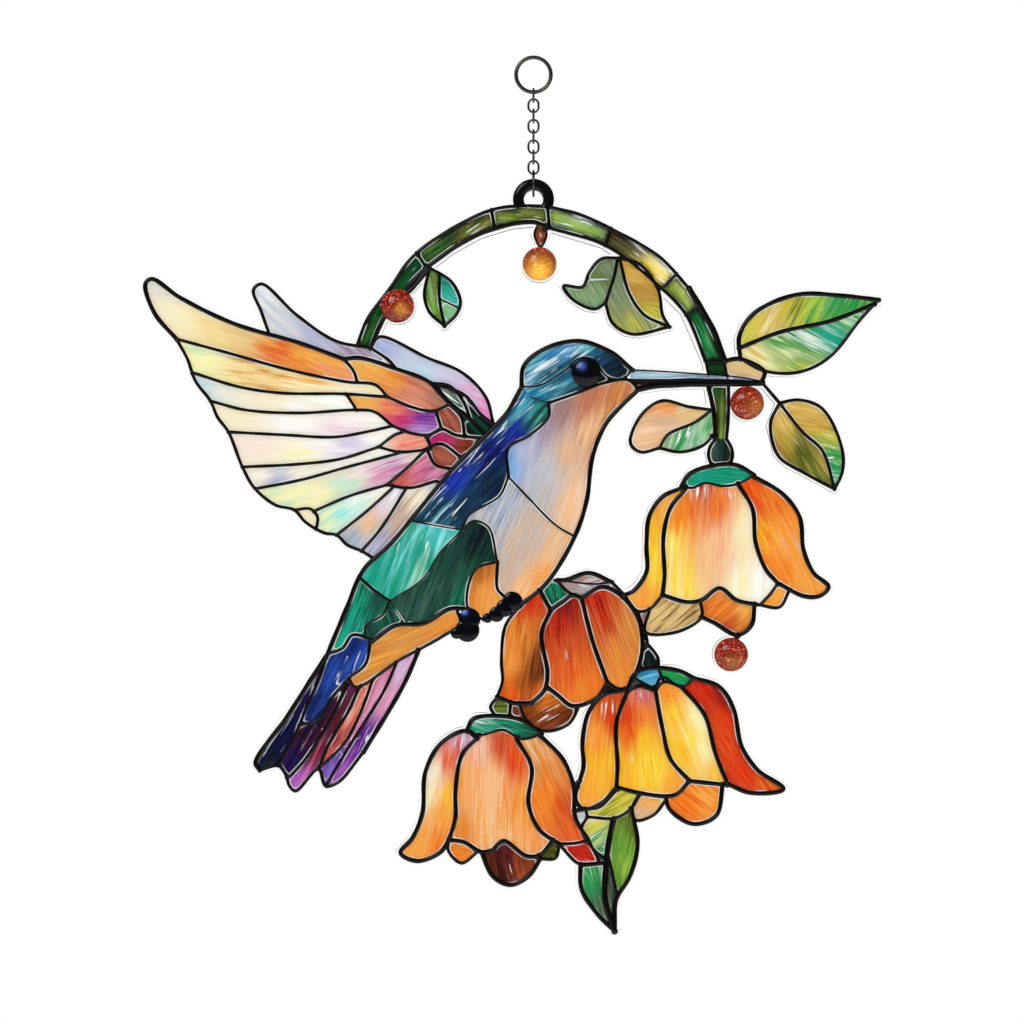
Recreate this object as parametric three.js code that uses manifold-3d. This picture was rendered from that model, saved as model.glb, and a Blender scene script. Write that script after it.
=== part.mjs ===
// A hanging suncatcher: a hummingbird at bell flowers, in a vine arch, cut from one clear acrylic sheet.
// Millimetres, +Z up, the front faces -Y. The origin is the inside top of the ring that it hangs by.

import * as THREE from "three";
import { mergeVertices } from "three/addons/utils/BufferGeometryUtils.js";
import Module from "manifold-3d";

const wasm = await Module();
wasm.setup();

// Driving dimensions.
const SHEET_WIDTH = 150;
const SHEET_THICKNESS = 3;
const SHEET_MARGIN = 0.35;
const LEADING_HEIGHT = 0.5;
const FINE = 0.9;
const BOLD = 1.2;
const HEAVY = 1.6;

const TAB_RADIUS = 4.2;
const TAB_HOLE_RADIUS = 1.95;
const TAB_RISE = 1.65;

const BEAD_RADIUS = 3.45;
const BEAD_RIM = 0.6;
const BEAD_DOME = 2;
const EYE_RADIUS = 2.95;
const EYE_RIM = 0.5;
const EYE_DOME = 1;
const SETTING_GAP = 0.1;

const HANGING_RING_INNER_RADIUS = 3.2;
const HANGING_RING_WIRE = 0.8;
const LINK_COUNT = 8;
const LINK_INNER_LENGTH = 2.2;
const LINK_INNER_WIDTH = 1.75;
const LINK_WIRE = 0.45;
const JUMP_RING_INNER_RADIUS = 2.3;
const JUMP_RING_WIRE = 0.5;
const CHAIN_CLEARANCE = 0.1;

// How closely the drawn curves are followed, and how near a line's end has to be to run into another line.
const FLATNESS = 0.4;
const STEPS_PER_POINT = 12;
const CLOSEST_POINTS = 0.02;
const SMALLEST_STEP = 0.1;
const JOIN_REACH = 1.1;
const ALREADY_JOINED = 0.05;
const SHARP_CORNER = THREE.MathUtils.degToRad(50);
const LONGEST_MITRE = 2;
const END_OVERLAP = 1 / 3;

// How many flat sides stand in for each round form.
const DISC_SIDES = 28;
const DOME_RINGS = 3;
const DOME_SIDES = 18;
const WIRE_SIDES = 5;
const HANGING_RING_BENDS = 20;
const JUMP_RING_BENDS = 18;
const LINK_BENDS = 10;

// A cutter stands out past the faces that it cuts through.
const CUT_PAST = 1;
const SAME_VERTEX = 1e-5;

// The cartoon is drawn in its own units, x to the right and y down, CARTOON_WIDTH of them across the sheet.
const CARTOON_WIDTH = 736;
const UNIT = SHEET_WIDTH / CARTOON_WIDTH;
const CHAIN_X = 534;
const VINE_TOP_Y = 206.5;

// Heights, from the hanging ring down to the tab.
const linkPitch = LINK_INNER_LENGTH - CHAIN_CLEARANCE;
const linkHalfLength = LINK_INNER_LENGTH / 2;
const hangingRingZ = -HANGING_RING_INNER_RADIUS;
const topLinkZ = -2 * HANGING_RING_INNER_RADIUS + CHAIN_CLEARANCE - linkHalfLength;
const lastLinkZ = topLinkZ - (LINK_COUNT - 1) * linkPitch;
const jumpRingZ = lastLinkZ - linkHalfLength + CHAIN_CLEARANCE - JUMP_RING_INNER_RADIUS;
const tabDepth = SHEET_THICKNESS + LEADING_HEIGHT;
const tabSeatRadius = JUMP_RING_INNER_RADIUS - CHAIN_CLEARANCE;
const tabHoleTopZ = jumpRingZ - Math.sqrt(tabSeatRadius ** 2 - (tabDepth / 2) ** 2);
const tabZ = tabHoleTopZ - TAB_HOLE_RADIUS;
const vineTopZ = tabZ - TAB_RISE;

const SHEET_FRONT = -SHEET_THICKNESS / 2;
const SHEET_BACK = SHEET_THICKNESS / 2;
const jumpRingY = (SHEET_BACK + SHEET_FRONT - LEADING_HEIGHT) / 2;

// The leading's lines, each with its width and the points that its curve runs through.
const LINES = {
  wing_top: [BOLD, [177, 338], [155, 312], [146, 283], [152, 278], [181, 297], [235, 323], [300, 342],
    [344, 358]],
  wing_trail: [FINE, [177, 338], [188, 358], [196, 380], [211, 400], [218, 416], [229, 431], [243, 466],
    [255, 487], [276, 504], [295, 509], [306, 521], [325, 532], [337, 534], [348, 544], [362, 550],
    [375, 558]],
  feather_1: [FINE, [177, 338], [225, 351], [290, 369], [348, 381], [376, 384], [388, 396]],
  feather_2: [FINE, [194, 372], [240, 386], [281, 392], [345, 393], [388, 396]],
  covert_line: [FINE, [388, 396], [412, 406], [434, 410], [450, 403]],
  feather_3: [FINE, [211, 400], [246, 409], [300, 412], [357, 409], [375, 411], [393, 425]],
  feather_4: [FINE, [229, 431], [286, 434], [336, 436], [371, 430], [393, 425]],
  feather_5: [FINE, [243, 466], [301, 463], [341, 458], [379, 446]],
  feather_6: [FINE, [255, 488], [301, 479], [348, 466], [400, 452]],
  feather_7: [FINE, [317, 509], [350, 495], [387, 484]],
  feather_8: [FINE, [337, 534], [365, 512], [393, 487]],
  feather_9: [FINE, [362, 550], [381, 528], [407, 487]],
  wing_notch: [FINE, [295, 509], [311, 508], [318, 516], [317, 527]],
  covert_top: [BOLD, [344, 358], [360, 357], [394, 367], [431, 382], [450, 403]],
  covert_tip: [FINE, [344, 358], [354, 370], [358, 382]],
  covert_left: [FINE, [346, 392], [352, 401], [357, 409]],
  covert_low: [FINE, [393, 425], [411, 432], [428, 434], [442, 428]],
  covert_right: [FINE, [436, 409], [442, 428]],
  coral_top: [FINE, [379, 446], [395, 434], [404, 431]],
  coral_low: [FINE, [379, 446], [400, 451], [432, 448]],
  coral_right: [FINE, [426, 434], [432, 448]],
  rose_left: [FINE, [425, 450], [405, 469], [387, 484]],
  rose_low: [FINE, [387, 484], [410, 487], [437, 480]],
  brick_edge: [FINE, [450, 403], [462, 417], [465, 434]],
  brick_low: [FINE, [428, 450], [436, 464], [453, 468]],
  plum_top: [FINE, [428, 436], [442, 428], [456, 434], [480, 437]],
  plum_right: [FINE, [480, 437], [472, 449], [461, 456]],
  plum_line: [FINE, [427, 447], [442, 443], [461, 456]],
  quill_top: [FINE, [431, 382], [450, 385], [464, 401], [471, 419]],
  quill_low: [BOLD, [431, 382], [447, 399], [471, 419]],
  back_left: [FINE, [269, 331], [262, 311], [254, 289], [262, 283], [297, 314], [336, 340], [371, 347]],
  back_split: [FINE, [371, 347], [389, 359], [397, 368]],
  back_right: [FINE, [371, 347], [380, 336], [428, 357], [463, 372], [486, 396], [494, 423]],
  back_inner: [FINE, [431, 382], [465, 394], [482, 414], [494, 423]],
  vine_outer_left: [FINE, [357, 346], [368, 318], [390, 288], [413, 256], [450, 229], [492, 209],
    [520, 205], [548, 205.5]],
  vine_outer_right: [FINE, [548, 205.5], [580, 213.5], [612, 228], [660, 256], [690, 288]],
  vine_outer_low: [HEAVY, [690, 288], [714, 330], [725, 360]],
  vine_inner_left: [BOLD, [371, 347], [385, 316], [405, 289], [432, 263], [480, 233], [532, 221],
    [550, 227]],
  vine_inner_right: [FINE, [550, 227], [607, 245], [657, 283], [686, 313], [706, 360]],
  vine_bar_1: [FINE, [418, 253], [427, 267]],
  vine_bar_2: [FINE, [492, 209], [495, 227]],
  vine_bar_3: [FINE, [548, 205.5], [550, 227]],
  vine_bar_4: [FINE, [611, 228], [606, 244]],
  vine_bar_5: [FINE, [678, 272], [664, 286]],
  vine_bar_6: [FINE, [700, 303], [687, 314]],
  vine_bar_7: [FINE, [706, 360], [725, 360]],
  vine_end: [FINE, [357, 346], [371, 347]],
  node_left: [FINE, [706, 360], [709, 375]],
  node_right: [FINE, [725, 360], [728, 377]],
  stalk_left: [BOLD, [709, 386], [714, 410], [716, 438]],
  stalk_right: [FINE, [729, 386], [729, 412], [727, 438]],
  knob_left: [FINE, [716, 438], [710.5, 446], [709, 455], [712, 464]],
  knob_right: [FINE, [727, 438], [732, 447], [733, 455], [731, 463]],
  bail: [FINE, [541, 222], [547, 233], [541, 246], [535, 233], [541, 222]],
  bud_stem: [BOLD, [430, 267], [412, 288], [405, 294]],
  small_leaf_left: [FINE, [430, 267], [425, 295], [430, 311], [445, 325]],
  small_leaf_right: [FINE, [430, 267], [452, 281], [461, 301], [457, 313], [445, 325]],
  small_leaf_rib: [FINE, [440, 272], [440, 298], [445, 325]],
  small_leaf_cross: [FINE, [441, 298], [459, 307]],
  twin_left: [FINE, [618, 257], [602, 258], [590, 271], [583, 286], [564, 285], [574, 299], [595, 308],
    [606, 302]],
  twin_shared: [FINE, [618, 257], [615, 274], [606, 302]],
  twin_right_low: [FINE, [606, 302], [613, 322], [632, 333], [670, 326]],
  twin_right_top: [FINE, [618, 257], [641, 264], [659, 290], [663, 314], [670, 326]],
  twin_rib: [FINE, [620, 257], [630, 293], [645, 314], [670, 326]],
  leaf_a_top: [BOLD, [741, 358], [740, 335], [754, 313], [796, 294], [845, 295], [879, 299]],
  leaf_a_low: [FINE, [741, 358], [765, 370], [800, 371], [830, 356], [862, 317], [879, 299]],
  leaf_a_rib: [BOLD, [740, 347], [781, 331], [831, 320], [875, 303]],
  leaf_a_stem: [BOLD, [725, 360], [741, 358], [765, 371], [762, 381]],
  leaf_b_stem: [FINE, [762, 381], [780, 402]],
  leaf_b_left: [FINE, [780, 402], [771, 423], [779, 455], [805, 472], [835, 488]],
  leaf_b_right: [FINE, [780, 402], [800, 399], [823, 408], [842, 446], [843, 470], [835, 488]],
  leaf_b_rib: [FINE, [780, 402], [803, 431], [823, 450], [835, 488]],
  mid_leaf_top: [FINE, [712, 409], [690, 406], [662, 400], [642, 414], [631, 442], [641, 451], [660, 447]],
  mid_leaf_low: [FINE, [660, 447], [681, 451], [704, 444], [716, 431]],
  mid_leaf_rib: [FINE, [712, 409], [696, 421], [668, 434], [660, 447]],
  crown_top: [BOLD, [522, 386], [524, 366], [541, 350], [578, 340], [611, 351], [633, 369]],
  crown_low: [FINE, [522, 386], [541, 384], [572, 365]],
  brow: [FINE, [572, 364], [577, 358.5], [586, 356.5], [596, 360], [601, 368], [607, 375], [615, 378],
    [624, 377.5], [633, 369]],
  chin: [BOLD, [549, 402], [575, 393], [605, 382], [628, 379], [639, 388]],
  cheek: [FINE, [534, 397], [549, 402]],
  beak_top: [FINE, [633, 369], [647, 369.5], [693, 372.5], [739, 376], [762, 380]],
  beak_mid: [FINE, [628, 379], [647, 379.5], [693, 379], [739, 380], [762, 382]],
  beak_low: [BOLD, [639, 388], [655, 385], [693, 383], [739, 382.5], [762, 382]],
  nape: [BOLD, [522, 386], [508, 411], [484, 437], [453, 468], [420, 508], [391, 543], [364, 569],
    [348, 605], [328, 653]],
  throat_front: [BOLD, [639, 388], [607, 422], [593, 456], [587, 500], [575, 536], [547, 582], [520, 605]],
  neck: [BOLD, [549, 402], [549, 416], [529, 435], [509, 447], [509, 476]],
  breast_line: [FINE, [509, 476], [530, 498], [556, 524], [576, 536]],
  back_low: [FINE, [509, 476], [500, 495], [470, 514], [462, 529]],
  teal_top: [FINE, [411, 520], [433, 524], [462, 529]],
  teal_right: [FINE, [462, 529], [440, 552], [424, 577], [390, 600]],
  teal_low: [FINE, [361, 577], [374, 589], [390, 600]],
  flank_top: [FINE, [462, 529], [474, 520], [489, 526], [498, 561]],
  thigh_left: [FINE, [498, 561], [478, 567], [469, 584], [469, 608], [484, 619]],
  thigh_right: [FINE, [498, 561], [498, 588], [503, 594]],
  flank_low: [BOLD, [469, 608], [450, 608], [425, 622], [395, 625], [371, 642]],
  flank_line: [FINE, [390, 600], [406, 624]],
  flank_left: [FINE, [390, 600], [383, 614], [366, 625], [366, 635]],
  rump_low: [FINE, [328, 653], [343, 647], [353, 634], [371, 638]],
  leg_low: [FINE, [458, 611], [461, 622], [440, 637], [400, 659], [356, 686], [349, 677]],
  leg_left: [FINE, [371, 640], [366, 663], [349, 677]],
  tail_left: [BOLD, [328, 653], [313, 676], [286, 718], [260, 753], [256, 763], [260, 769]],
  tail_end: [FINE, [260, 769], [279, 765], [286, 773], [290, 785], [296, 790], [319, 768], [326, 785],
    [339, 781], [364, 751]],
  tail_right: [BOLD, [364, 751], [391, 707], [406, 680], [419, 650]],
  tail_1: [FINE, [327, 656], [318, 682], [308, 704], [300, 724]],
  tail_2: [FINE, [300, 724], [318, 719], [333, 696], [349, 678]],
  tail_5: [FINE, [300, 724], [295, 736], [278, 765]],
  tail_6: [FINE, [348, 684], [328, 724], [306, 758], [291, 775]],
  tail_7: [FINE, [361, 684], [348, 712], [330, 742], [319, 768]],
  tail_9: [FINE, [374, 677], [360, 714], [345, 742], [319, 768]],
  tail_8: [FINE, [397, 662], [385, 689], [350, 745], [328, 782]],
  bell_a_cap_top: [BOLD, [682, 485], [690, 473], [712, 465], [736, 464], [755, 474]],
  bell_a_cap_low: [FINE, [682, 485], [692, 487], [706, 482], [722, 485], [738, 483], [755, 474]],
  bell_a_petal_1: [BOLD, [682, 487], [663, 496], [650, 515], [647, 545], [647, 571], [634, 590],
    [625, 594]],
  bell_a_hem_1: [FINE, [625, 594], [638, 610], [650, 608], [663, 594]],
  bell_a_line_1: [BOLD, [686, 488], [671, 507], [664, 535], [665, 575], [663, 594]],
  bell_a_line_2: [BOLD, [739, 484], [753, 508], [756, 541], [766, 568], [778, 582]],
  bell_a_petal_3: [BOLD, [755, 476], [783, 493], [800, 516], [804, 549], [814, 572], [829, 586],
    [820, 595], [804, 595], [778, 582]],
  bell_a_hem_2: [BOLD, [663, 594], [687, 601], [702, 599], [720, 587], [737, 599], [760, 604]],
  bell_a_hem_3: [FINE, [760, 604], [769, 595], [778, 583]],
  bell_a_tab: [FINE, [760, 604], [780, 606], [790, 589]],
  bell_a_tan: [FINE, [650, 609], [646, 631], [677, 631], [702, 616], [701, 601]],
  bell_a_lip: [BOLD, [702, 616], [715, 622], [738, 634], [752, 624], [755, 604]],
  bell_b_knot: [FINE, [638, 610], [642, 622], [646, 631]],
  bell_b_hump: [BOLD, [555, 579], [566, 579], [589, 572], [612, 581]],
  bell_b_hump_low: [FINE, [563, 580], [596, 583], [612, 581]],
  bell_b_left: [FINE, [522, 603], [506, 625], [502, 660], [503, 680], [498, 696]],
  bell_b_line_1: [BOLD, [551, 610], [542, 633], [548, 672], [545, 689], [532, 702]],
  bell_b_line_2: [BOLD, [582, 597], [593, 640], [608, 682]],
  bell_b_hem_1: [BOLD, [498, 696], [515, 702], [532, 702]],
  bell_b_hem_2: [BOLD, [546, 685], [558, 694], [573, 705], [597, 697], [608, 682]],
  bell_b_hem_3: [BOLD, [608, 682], [618, 688], [628, 688]],
  bell_b_right: [BOLD, [582, 597], [602, 586], [618, 592], [637, 614], [643, 640], [639, 666], [628, 688]],
  bell_b_bridge: [FINE, [612, 581], [625, 594]],
  bell_b_cap_left: [BOLD, [541, 591], [551, 609]],
  bell_b_cap_right: [BOLD, [551, 609], [564, 600], [573, 594], [582, 597]],
  bell_b_cap_top: [FINE, [558, 580], [565, 588], [573, 594]],
  bell_b_lip: [FINE, [520, 703], [526, 718], [544, 730], [569, 723], [580, 704]],
  bell_b_drop: [FINE, [648, 643], [646, 631]],
  bud_left: [FINE, [648, 643], [641, 655], [641, 667]],
  bud_right: [FINE, [648, 643], [658, 656], [659, 667]],
  disc_left: [FINE, [498, 696], [491, 706], [496, 715]],
  disc_right: [FINE, [511, 702], [510, 715]],
  bell_c_cap_top: [BOLD, [468, 728], [474, 718], [502, 715], [524, 720], [543, 733]],
  bell_c_cap_low: [FINE, [468, 728], [480, 734], [504, 729], [522, 738], [543, 733]],
  bell_c_petal_1: [BOLD, [477, 737], [466, 730], [442, 742], [426, 771], [423, 812], [413, 837],
    [401, 852], [418, 860], [441, 851], [451, 836]],
  bell_c_line_1: [BOLD, [480, 735], [463, 753], [456, 790], [456, 816], [450, 838]],
  bell_c_line_2: [BOLD, [517, 738], [532, 766], [529, 803], [540, 829], [560, 843]],
  bell_c_right: [BOLD, [540, 734], [563, 758], [574, 785], [576, 817], [589, 839]],
  bell_c_tab: [FINE, [449, 838], [449, 850], [462, 862], [479, 850]],
  bell_c_hem_1: [BOLD, [450, 839], [464, 841], [482, 851], [493, 849]],
  bell_c_hem_2: [BOLD, [493, 849], [504, 840], [527, 855], [540, 854], [553, 840]],
  bell_c_hem_3: [FINE, [560, 843], [577, 842], [589, 839]],
  bell_c_lip: [BOLD, [482, 851], [493, 875], [511, 884], [529, 875], [541, 858]],
  bell_c_olive: [FINE, [541, 858], [556, 857], [560, 844]],
  bell_c_red: [FINE, [560, 844], [580, 863], [601, 863]],
  bell_c_red_right: [FINE, [589, 839], [601, 863]],
  bell_d_cap_top: [BOLD, [628, 688], [636, 672], [652, 667], [680, 670], [694, 677]],
  bell_d_cap_low: [FINE, [634, 677], [655, 686], [662, 676], [682, 686], [694, 677]],
  bell_d_cap_line: [FINE, [659, 668], [662, 676]],
  bell_d_petal_1: [BOLD, [625, 689], [604, 694], [589, 712], [583, 742], [584, 766], [576, 798],
    [584, 808], [602, 802], [617, 786]],
  bell_d_line_1: [BOLD, [628, 690], [617, 722], [618, 765], [617, 786]],
  bell_d_top_2: [BOLD, [628, 690], [640, 685], [656, 690]],
  bell_d_line_2: [BOLD, [656, 690], [663, 728], [671, 758], [690, 780]],
  bell_d_top_3: [FINE, [656, 690], [664, 681], [682, 686]],
  bell_d_line_3: [BOLD, [682, 686], [705, 714], [716, 753], [728, 783]],
  bell_d_petal_4: [BOLD, [694, 677], [720, 686], [734, 708], [742, 745], [758, 769], [784, 788],
    [752, 792], [728, 783]],
  bell_d_hem_1: [BOLD, [617, 786], [640, 792], [675, 794], [690, 780]],
  bell_d_hem_2: [BOLD, [690, 780], [728, 784]],
  bell_d_lip: [BOLD, [666, 795], [670, 808], [694, 823], [717, 814], [723, 785]],
  bell_d_peach: [FINE, [640, 793], [633, 806], [636, 819], [654, 814], [667, 798]],
  joint_left: [BOLD, [574, 785], [580, 780]],
  joint_low: [BOLD, [575, 810], [584, 808]],
  vine_leaf_top: [FINE, [584, 808], [600, 806], [618, 788]],
  vine_leaf_low: [FINE, [588, 816], [615, 817], [631, 808], [641, 793]],
  sprout_left: [FINE, [588, 816], [582, 828], [592, 846], [607, 860]],
  clear_drop: [FINE, [586, 808], [588, 816]],
  stem_main: [HEAVY, [614, 817], [608, 850], [606, 900], [615, 930]],
  pod_left: [FINE, [609, 855], [617, 892]],
  pod_right: [BOLD, [632, 808], [638, 845], [630, 876], [617, 898], [615, 930]],
  spear_left: [BOLD, [581, 864], [582, 888], [597, 912], [615, 930]],
  spear_top: [BOLD, [581, 864], [607, 862]],
};

const BEADS = {
  bead_top: [540, 263],
  bead_left: [398, 305],
  bead_right: [747.5, 402],
  bead_lower: [731.5, 653.5],
};
const EYE = [586.5, 371.5];

// Strips that tie a bead to the line that it hangs from, seen only beside the bead.
const BEAD_STEMS = {
  bead_top: [541, 246],
  bead_left: [405, 290],
  bead_right: [729, 400],
  bead_lower: [738, 634],
};

// The bird's curled toes: x, y and radius of each round.
const TOES = [
  [466, 627, 14],
  [509, 603, 12],
  [496, 611, 9],
];

// The sheet behind the lines: each outline is a list of lines and loose points, in order.
const PATCHES = {
  wing: ["wing_top", "covert_top", [494, 423], "wing_trail"],
  back_wing: ["back_left", "back_right"],
  vine: ["vine_outer_left", "vine_outer_right", "vine_outer_low", "vine_inner_right", "vine_inner_left"],
  vine_node: [[706, 360], [725, 360], [728, 377], [709, 375]],
  stalk: ["stalk_left", "stalk_right"],
  knob: ["knob_left", "knob_right"],
  small_leaf: ["small_leaf_left", "small_leaf_right"],
  twin_leaf_left: ["twin_left", "twin_shared"],
  twin_leaf_right: ["twin_right_low", "twin_right_top", "twin_shared"],
  leaf_a: ["leaf_a_top", "leaf_a_low"],
  leaf_a_heel: ["leaf_a_stem", [728, 377]],
  leaf_b: ["leaf_b_left", "leaf_b_right"],
  mid_leaf: ["mid_leaf_top", "mid_leaf_low"],
  body: ["crown_top", "throat_front", [484, 612], "flank_low", "nape"],
  thigh: ["thigh_left", "thigh_right"],
  rump: ["rump_low", [371, 600]],
  beak: ["beak_top", "beak_low"],
  leg: ["flank_low", "leg_left", "leg_low"],
  tail: ["tail_left", "tail_end", "tail_right", [371, 640]],
  bell_a: ["bell_a_petal_1", "bell_a_hem_1", "bell_a_hem_2", "bell_a_hem_3", "bell_a_petal_3"],
  bell_a_cap: ["bell_a_cap_top", "bell_a_cap_low"],
  bell_a_tab: ["bell_a_tab", [778, 583]],
  bell_a_tan: ["bell_a_tan", [687, 600], [663, 594]],
  bell_a_lip: ["bell_a_lip", [737, 598], [720, 586], [702, 598]],
  bell_b: ["bell_b_left", "bell_b_hem_1", "bell_b_hem_2", "bell_b_hem_3", "bell_b_right", "bell_b_cap_right",
    "bell_b_cap_left"],
  bell_b_hump: ["bell_b_hump", [602, 586], [582, 597], [541, 591]],
  bell_b_lip: ["bell_b_lip", [573, 704], [558, 693], [546, 685], [532, 701]],
  bell_b_web: [[636, 611], [643, 640], [646, 631], [650, 609]],
  bell_b_disc: ["disc_left", [510, 715], [526, 720], [520, 703]],
  bud: ["bud_left", "bud_right"],
  bell_c: ["bell_c_petal_1", "bell_c_hem_1", "bell_c_hem_2", "bell_c_hem_3", "bell_c_right"],
  bell_c_cap: ["bell_c_cap_top", "bell_c_cap_low"],
  bell_c_tab: ["bell_c_tab", [464, 840]],
  bell_c_lip: ["bell_c_lip", [540, 853], [527, 854], [504, 839]],
  bell_c_olive: ["bell_c_olive", [553, 840], [540, 853]],
  bell_c_red: ["bell_c_red", "bell_c_red_right"],
  clear_drop: [[575, 810], [588, 806], [590, 842]],
  bell_d: ["bell_d_petal_1", "bell_d_hem_1", "bell_d_hem_2", "bell_d_petal_4", "bell_d_cap_top"],
  bell_d_lip: ["bell_d_lip", [690, 780]],
  bell_d_peach: ["bell_d_peach"],
  vine_leaf: ["vine_leaf_top", "vine_leaf_low"],
  sprout: ["sprout_left", [614, 817]],
  pod: ["pod_right", [606, 900], [608, 850], [614, 817]],
  spear: ["spear_left", [606, 900], [607, 862]],
};

const place = ([x, y]) => new THREE.Vector2((x - CHAIN_X) * UNIT, vineTopZ - (y - VINE_TOP_Y) * UNIT);

// Drops the points of a polyline that lie nearer than FLATNESS to the line without them.
function flatten(points) {
  if (points.length < 3) return points;
  const first = points[0];
  const last = points[points.length - 1];
  let worst = 0;
  let at = 0;
  for (let i = 1; i < points.length - 1; i += 1) {
    const off = nearestOnSegment(points[i], first, last).distanceTo(points[i]);
    if (off > worst) {
      worst = off;
      at = i;
    }
  }
  if (worst < FLATNESS) return [first, last];
  return [...flatten(points.slice(0, at + 1)), ...flatten(points.slice(at)).slice(1)];
}

function nearestOnSegment(point, a, b) {
  const along = b.clone().sub(a);
  const share = along.lengthSq() === 0 ? 0 : point.clone().sub(a).dot(along) / along.lengthSq();
  return a.clone().addScaledVector(along, THREE.MathUtils.clamp(share, 0, 1));
}

function curvePoints(cartoonPoints) {
  const corners = cartoonPoints.map(place);
  if (corners.length === 2) return corners;
  const closed = corners[0].distanceTo(corners[corners.length - 1]) === 0;
  const path = corners.map((corner) => new THREE.Vector3(corner.x, corner.y, 0));
  const curve = new THREE.CatmullRomCurve3(closed ? path.slice(0, -1) : path, closed, "centripetal");
  const dense = curve.getPoints(path.length * STEPS_PER_POINT);
  return flatten(dense.map((point) => new THREE.Vector2(point.x, point.y)));
}

// Every line as a polyline, its ends carried on to the nearest other line where one is within reach.
function traceLines() {
  const traced = {};
  for (const [name, [width, ...points]] of Object.entries(LINES)) {
    const path = curvePoints(points);
    traced[name] = { width, path, outline: [...path] };
  }
  for (const [name, line] of Object.entries(traced)) {
    const others = Object.entries(traced).filter(([other]) => other !== name).map(([, other]) => other.path);
    const start = nearestOnPaths(line.path[0], others);
    const end = nearestOnPaths(line.path[line.path.length - 1], others);
    if (start) line.path.unshift(start);
    if (end) line.path.push(end);
  }
  return traced;
}

function nearestOnPaths(point, paths) {
  let best = null;
  for (const path of paths) {
    for (let i = 1; i < path.length; i += 1) {
      const candidate = nearestOnSegment(point, path[i - 1], path[i]);
      if (!best || candidate.distanceTo(point) < best.distanceTo(point)) best = candidate;
    }
  }
  const reach = best.distanceTo(point);
  return reach < JOIN_REACH && reach > ALREADY_JOINED ? best : null;
}

// A flat piece: the outline in X and Z, from the front face at y = front to the back at y = back.
function plate(outline, front, back) {
  const depth = back - front;
  const geometry = new THREE.ExtrudeGeometry(new THREE.Shape(outline), { depth, bevelEnabled: false });
  const position = geometry.getAttribute("position");
  for (let i = 0; i < position.count; i += 1) {
    position.setXYZ(i, position.getX(i), back - position.getZ(i), position.getY(i));
  }
  return solid(geometry);
}

function solid(geometry) {
  geometry.deleteAttribute("normal");
  geometry.deleteAttribute("uv");
  const merged = mergeVertices(geometry, SAME_VERTEX);
  const vertProperties = new Float32Array(merged.getAttribute("position").array);
  const triVerts = new Uint32Array(merged.getIndex().array);
  return new wasm.Manifold(new wasm.Mesh({ numProp: 3, vertProperties, triVerts }));
}

function joined(solids) {
  return wasm.Manifold.union(solids).asOriginal().simplify(SMALLEST_STEP);
}

function toGeometry(piece) {
  const { vertProperties, triVerts } = piece.getMesh();
  const geometry = new THREE.BufferGeometry();
  geometry.setAttribute("position", new THREE.BufferAttribute(vertProperties, 3));
  geometry.setIndex(new THREE.BufferAttribute(triVerts, 1));
  geometry.computeVertexNormals();
  return geometry;
}

// The strip along a polyline, with mitred bends and square ends, cut in two at each sharp corner.
function strips(path, width, front, back) {
  const runs = [[path[0]]];
  for (let i = 1; i < path.length; i += 1) {
    runs[runs.length - 1].push(path[i]);
    if (i < path.length - 1 && turn(path[i - 1], path[i], path[i + 1]) > SHARP_CORNER) runs.push([path[i]]);
  }
  return runs.map((run) => plate(stripOutline(run, width), front, back));
}

function turn(before, at, after) {
  const incoming = at.clone().sub(before).normalize();
  const outgoing = after.clone().sub(at).normalize();
  return Math.acos(THREE.MathUtils.clamp(incoming.dot(outgoing), -1, 1));
}

function stripOutline(run, width) {
  const half = width / 2;
  const overlap = width * END_OVERLAP;
  const left = [];
  const right = [];
  for (let i = 0; i < run.length; i += 1) {
    const before = run[Math.max(i - 1, 0)];
    const after = run[Math.min(i + 1, run.length - 1)];
    const incoming = (i > 0 ? run[i].clone().sub(before) : after.clone().sub(run[i])).normalize();
    const outgoing = (i < run.length - 1 ? after.clone().sub(run[i]) : run[i].clone().sub(before)).normalize();
    const along = incoming.clone().add(outgoing).normalize();
    const side = new THREE.Vector2(-along.y, along.x);
    const mitre = half / Math.max(side.dot(new THREE.Vector2(-incoming.y, incoming.x)), 1 / LONGEST_MITRE);
    const centre = run[i].clone();
    if (i === 0) centre.addScaledVector(along, -overlap);
    if (i === run.length - 1) centre.addScaledVector(along, overlap);
    left.push(centre.clone().addScaledVector(side, mitre));
    right.unshift(centre.clone().addScaledVector(side, -mitre));
  }
  return [...left, ...right];
}

function disc(centre, radius, front, back) {
  const outline = [];
  for (let i = 0; i < DISC_SIDES; i += 1) {
    const angle = (i / DISC_SIDES) * 2 * Math.PI;
    outline.push(new THREE.Vector2(centre.x + radius * Math.cos(angle), centre.y + radius * Math.sin(angle)));
  }
  return plate(outline, front, back);
}

// The closed outline of a patch: each next line is turned so that it carries on from the last point.
function patchOutline(entries, traced) {
  const pieces = entries.map((entry) => (typeof entry === "string" ? traced[entry].outline : [place(entry)]));
  let outline = [...pieces[0]];
  const second = pieces[1 % pieces.length];
  const secondEnds = [second[0], second[second.length - 1]];
  const gapTo = (point) => Math.min(...secondEnds.map((end) => end.distanceTo(point)));
  if (pieces.length > 1 && gapTo(outline[0]) < gapTo(outline[outline.length - 1])) outline.reverse();
  for (const piece of pieces.slice(1)) {
    const tip = outline[outline.length - 1];
    const forward = piece[0].distanceTo(tip) <= piece[piece.length - 1].distanceTo(tip);
    outline = outline.concat(forward ? piece : [...piece].reverse());
  }
  return outline.filter((point, i) => point.distanceTo(outline.at(i - 1)) > CLOSEST_POINTS);
}

const hanger = new THREE.Vector2(0, tabZ);

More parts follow.
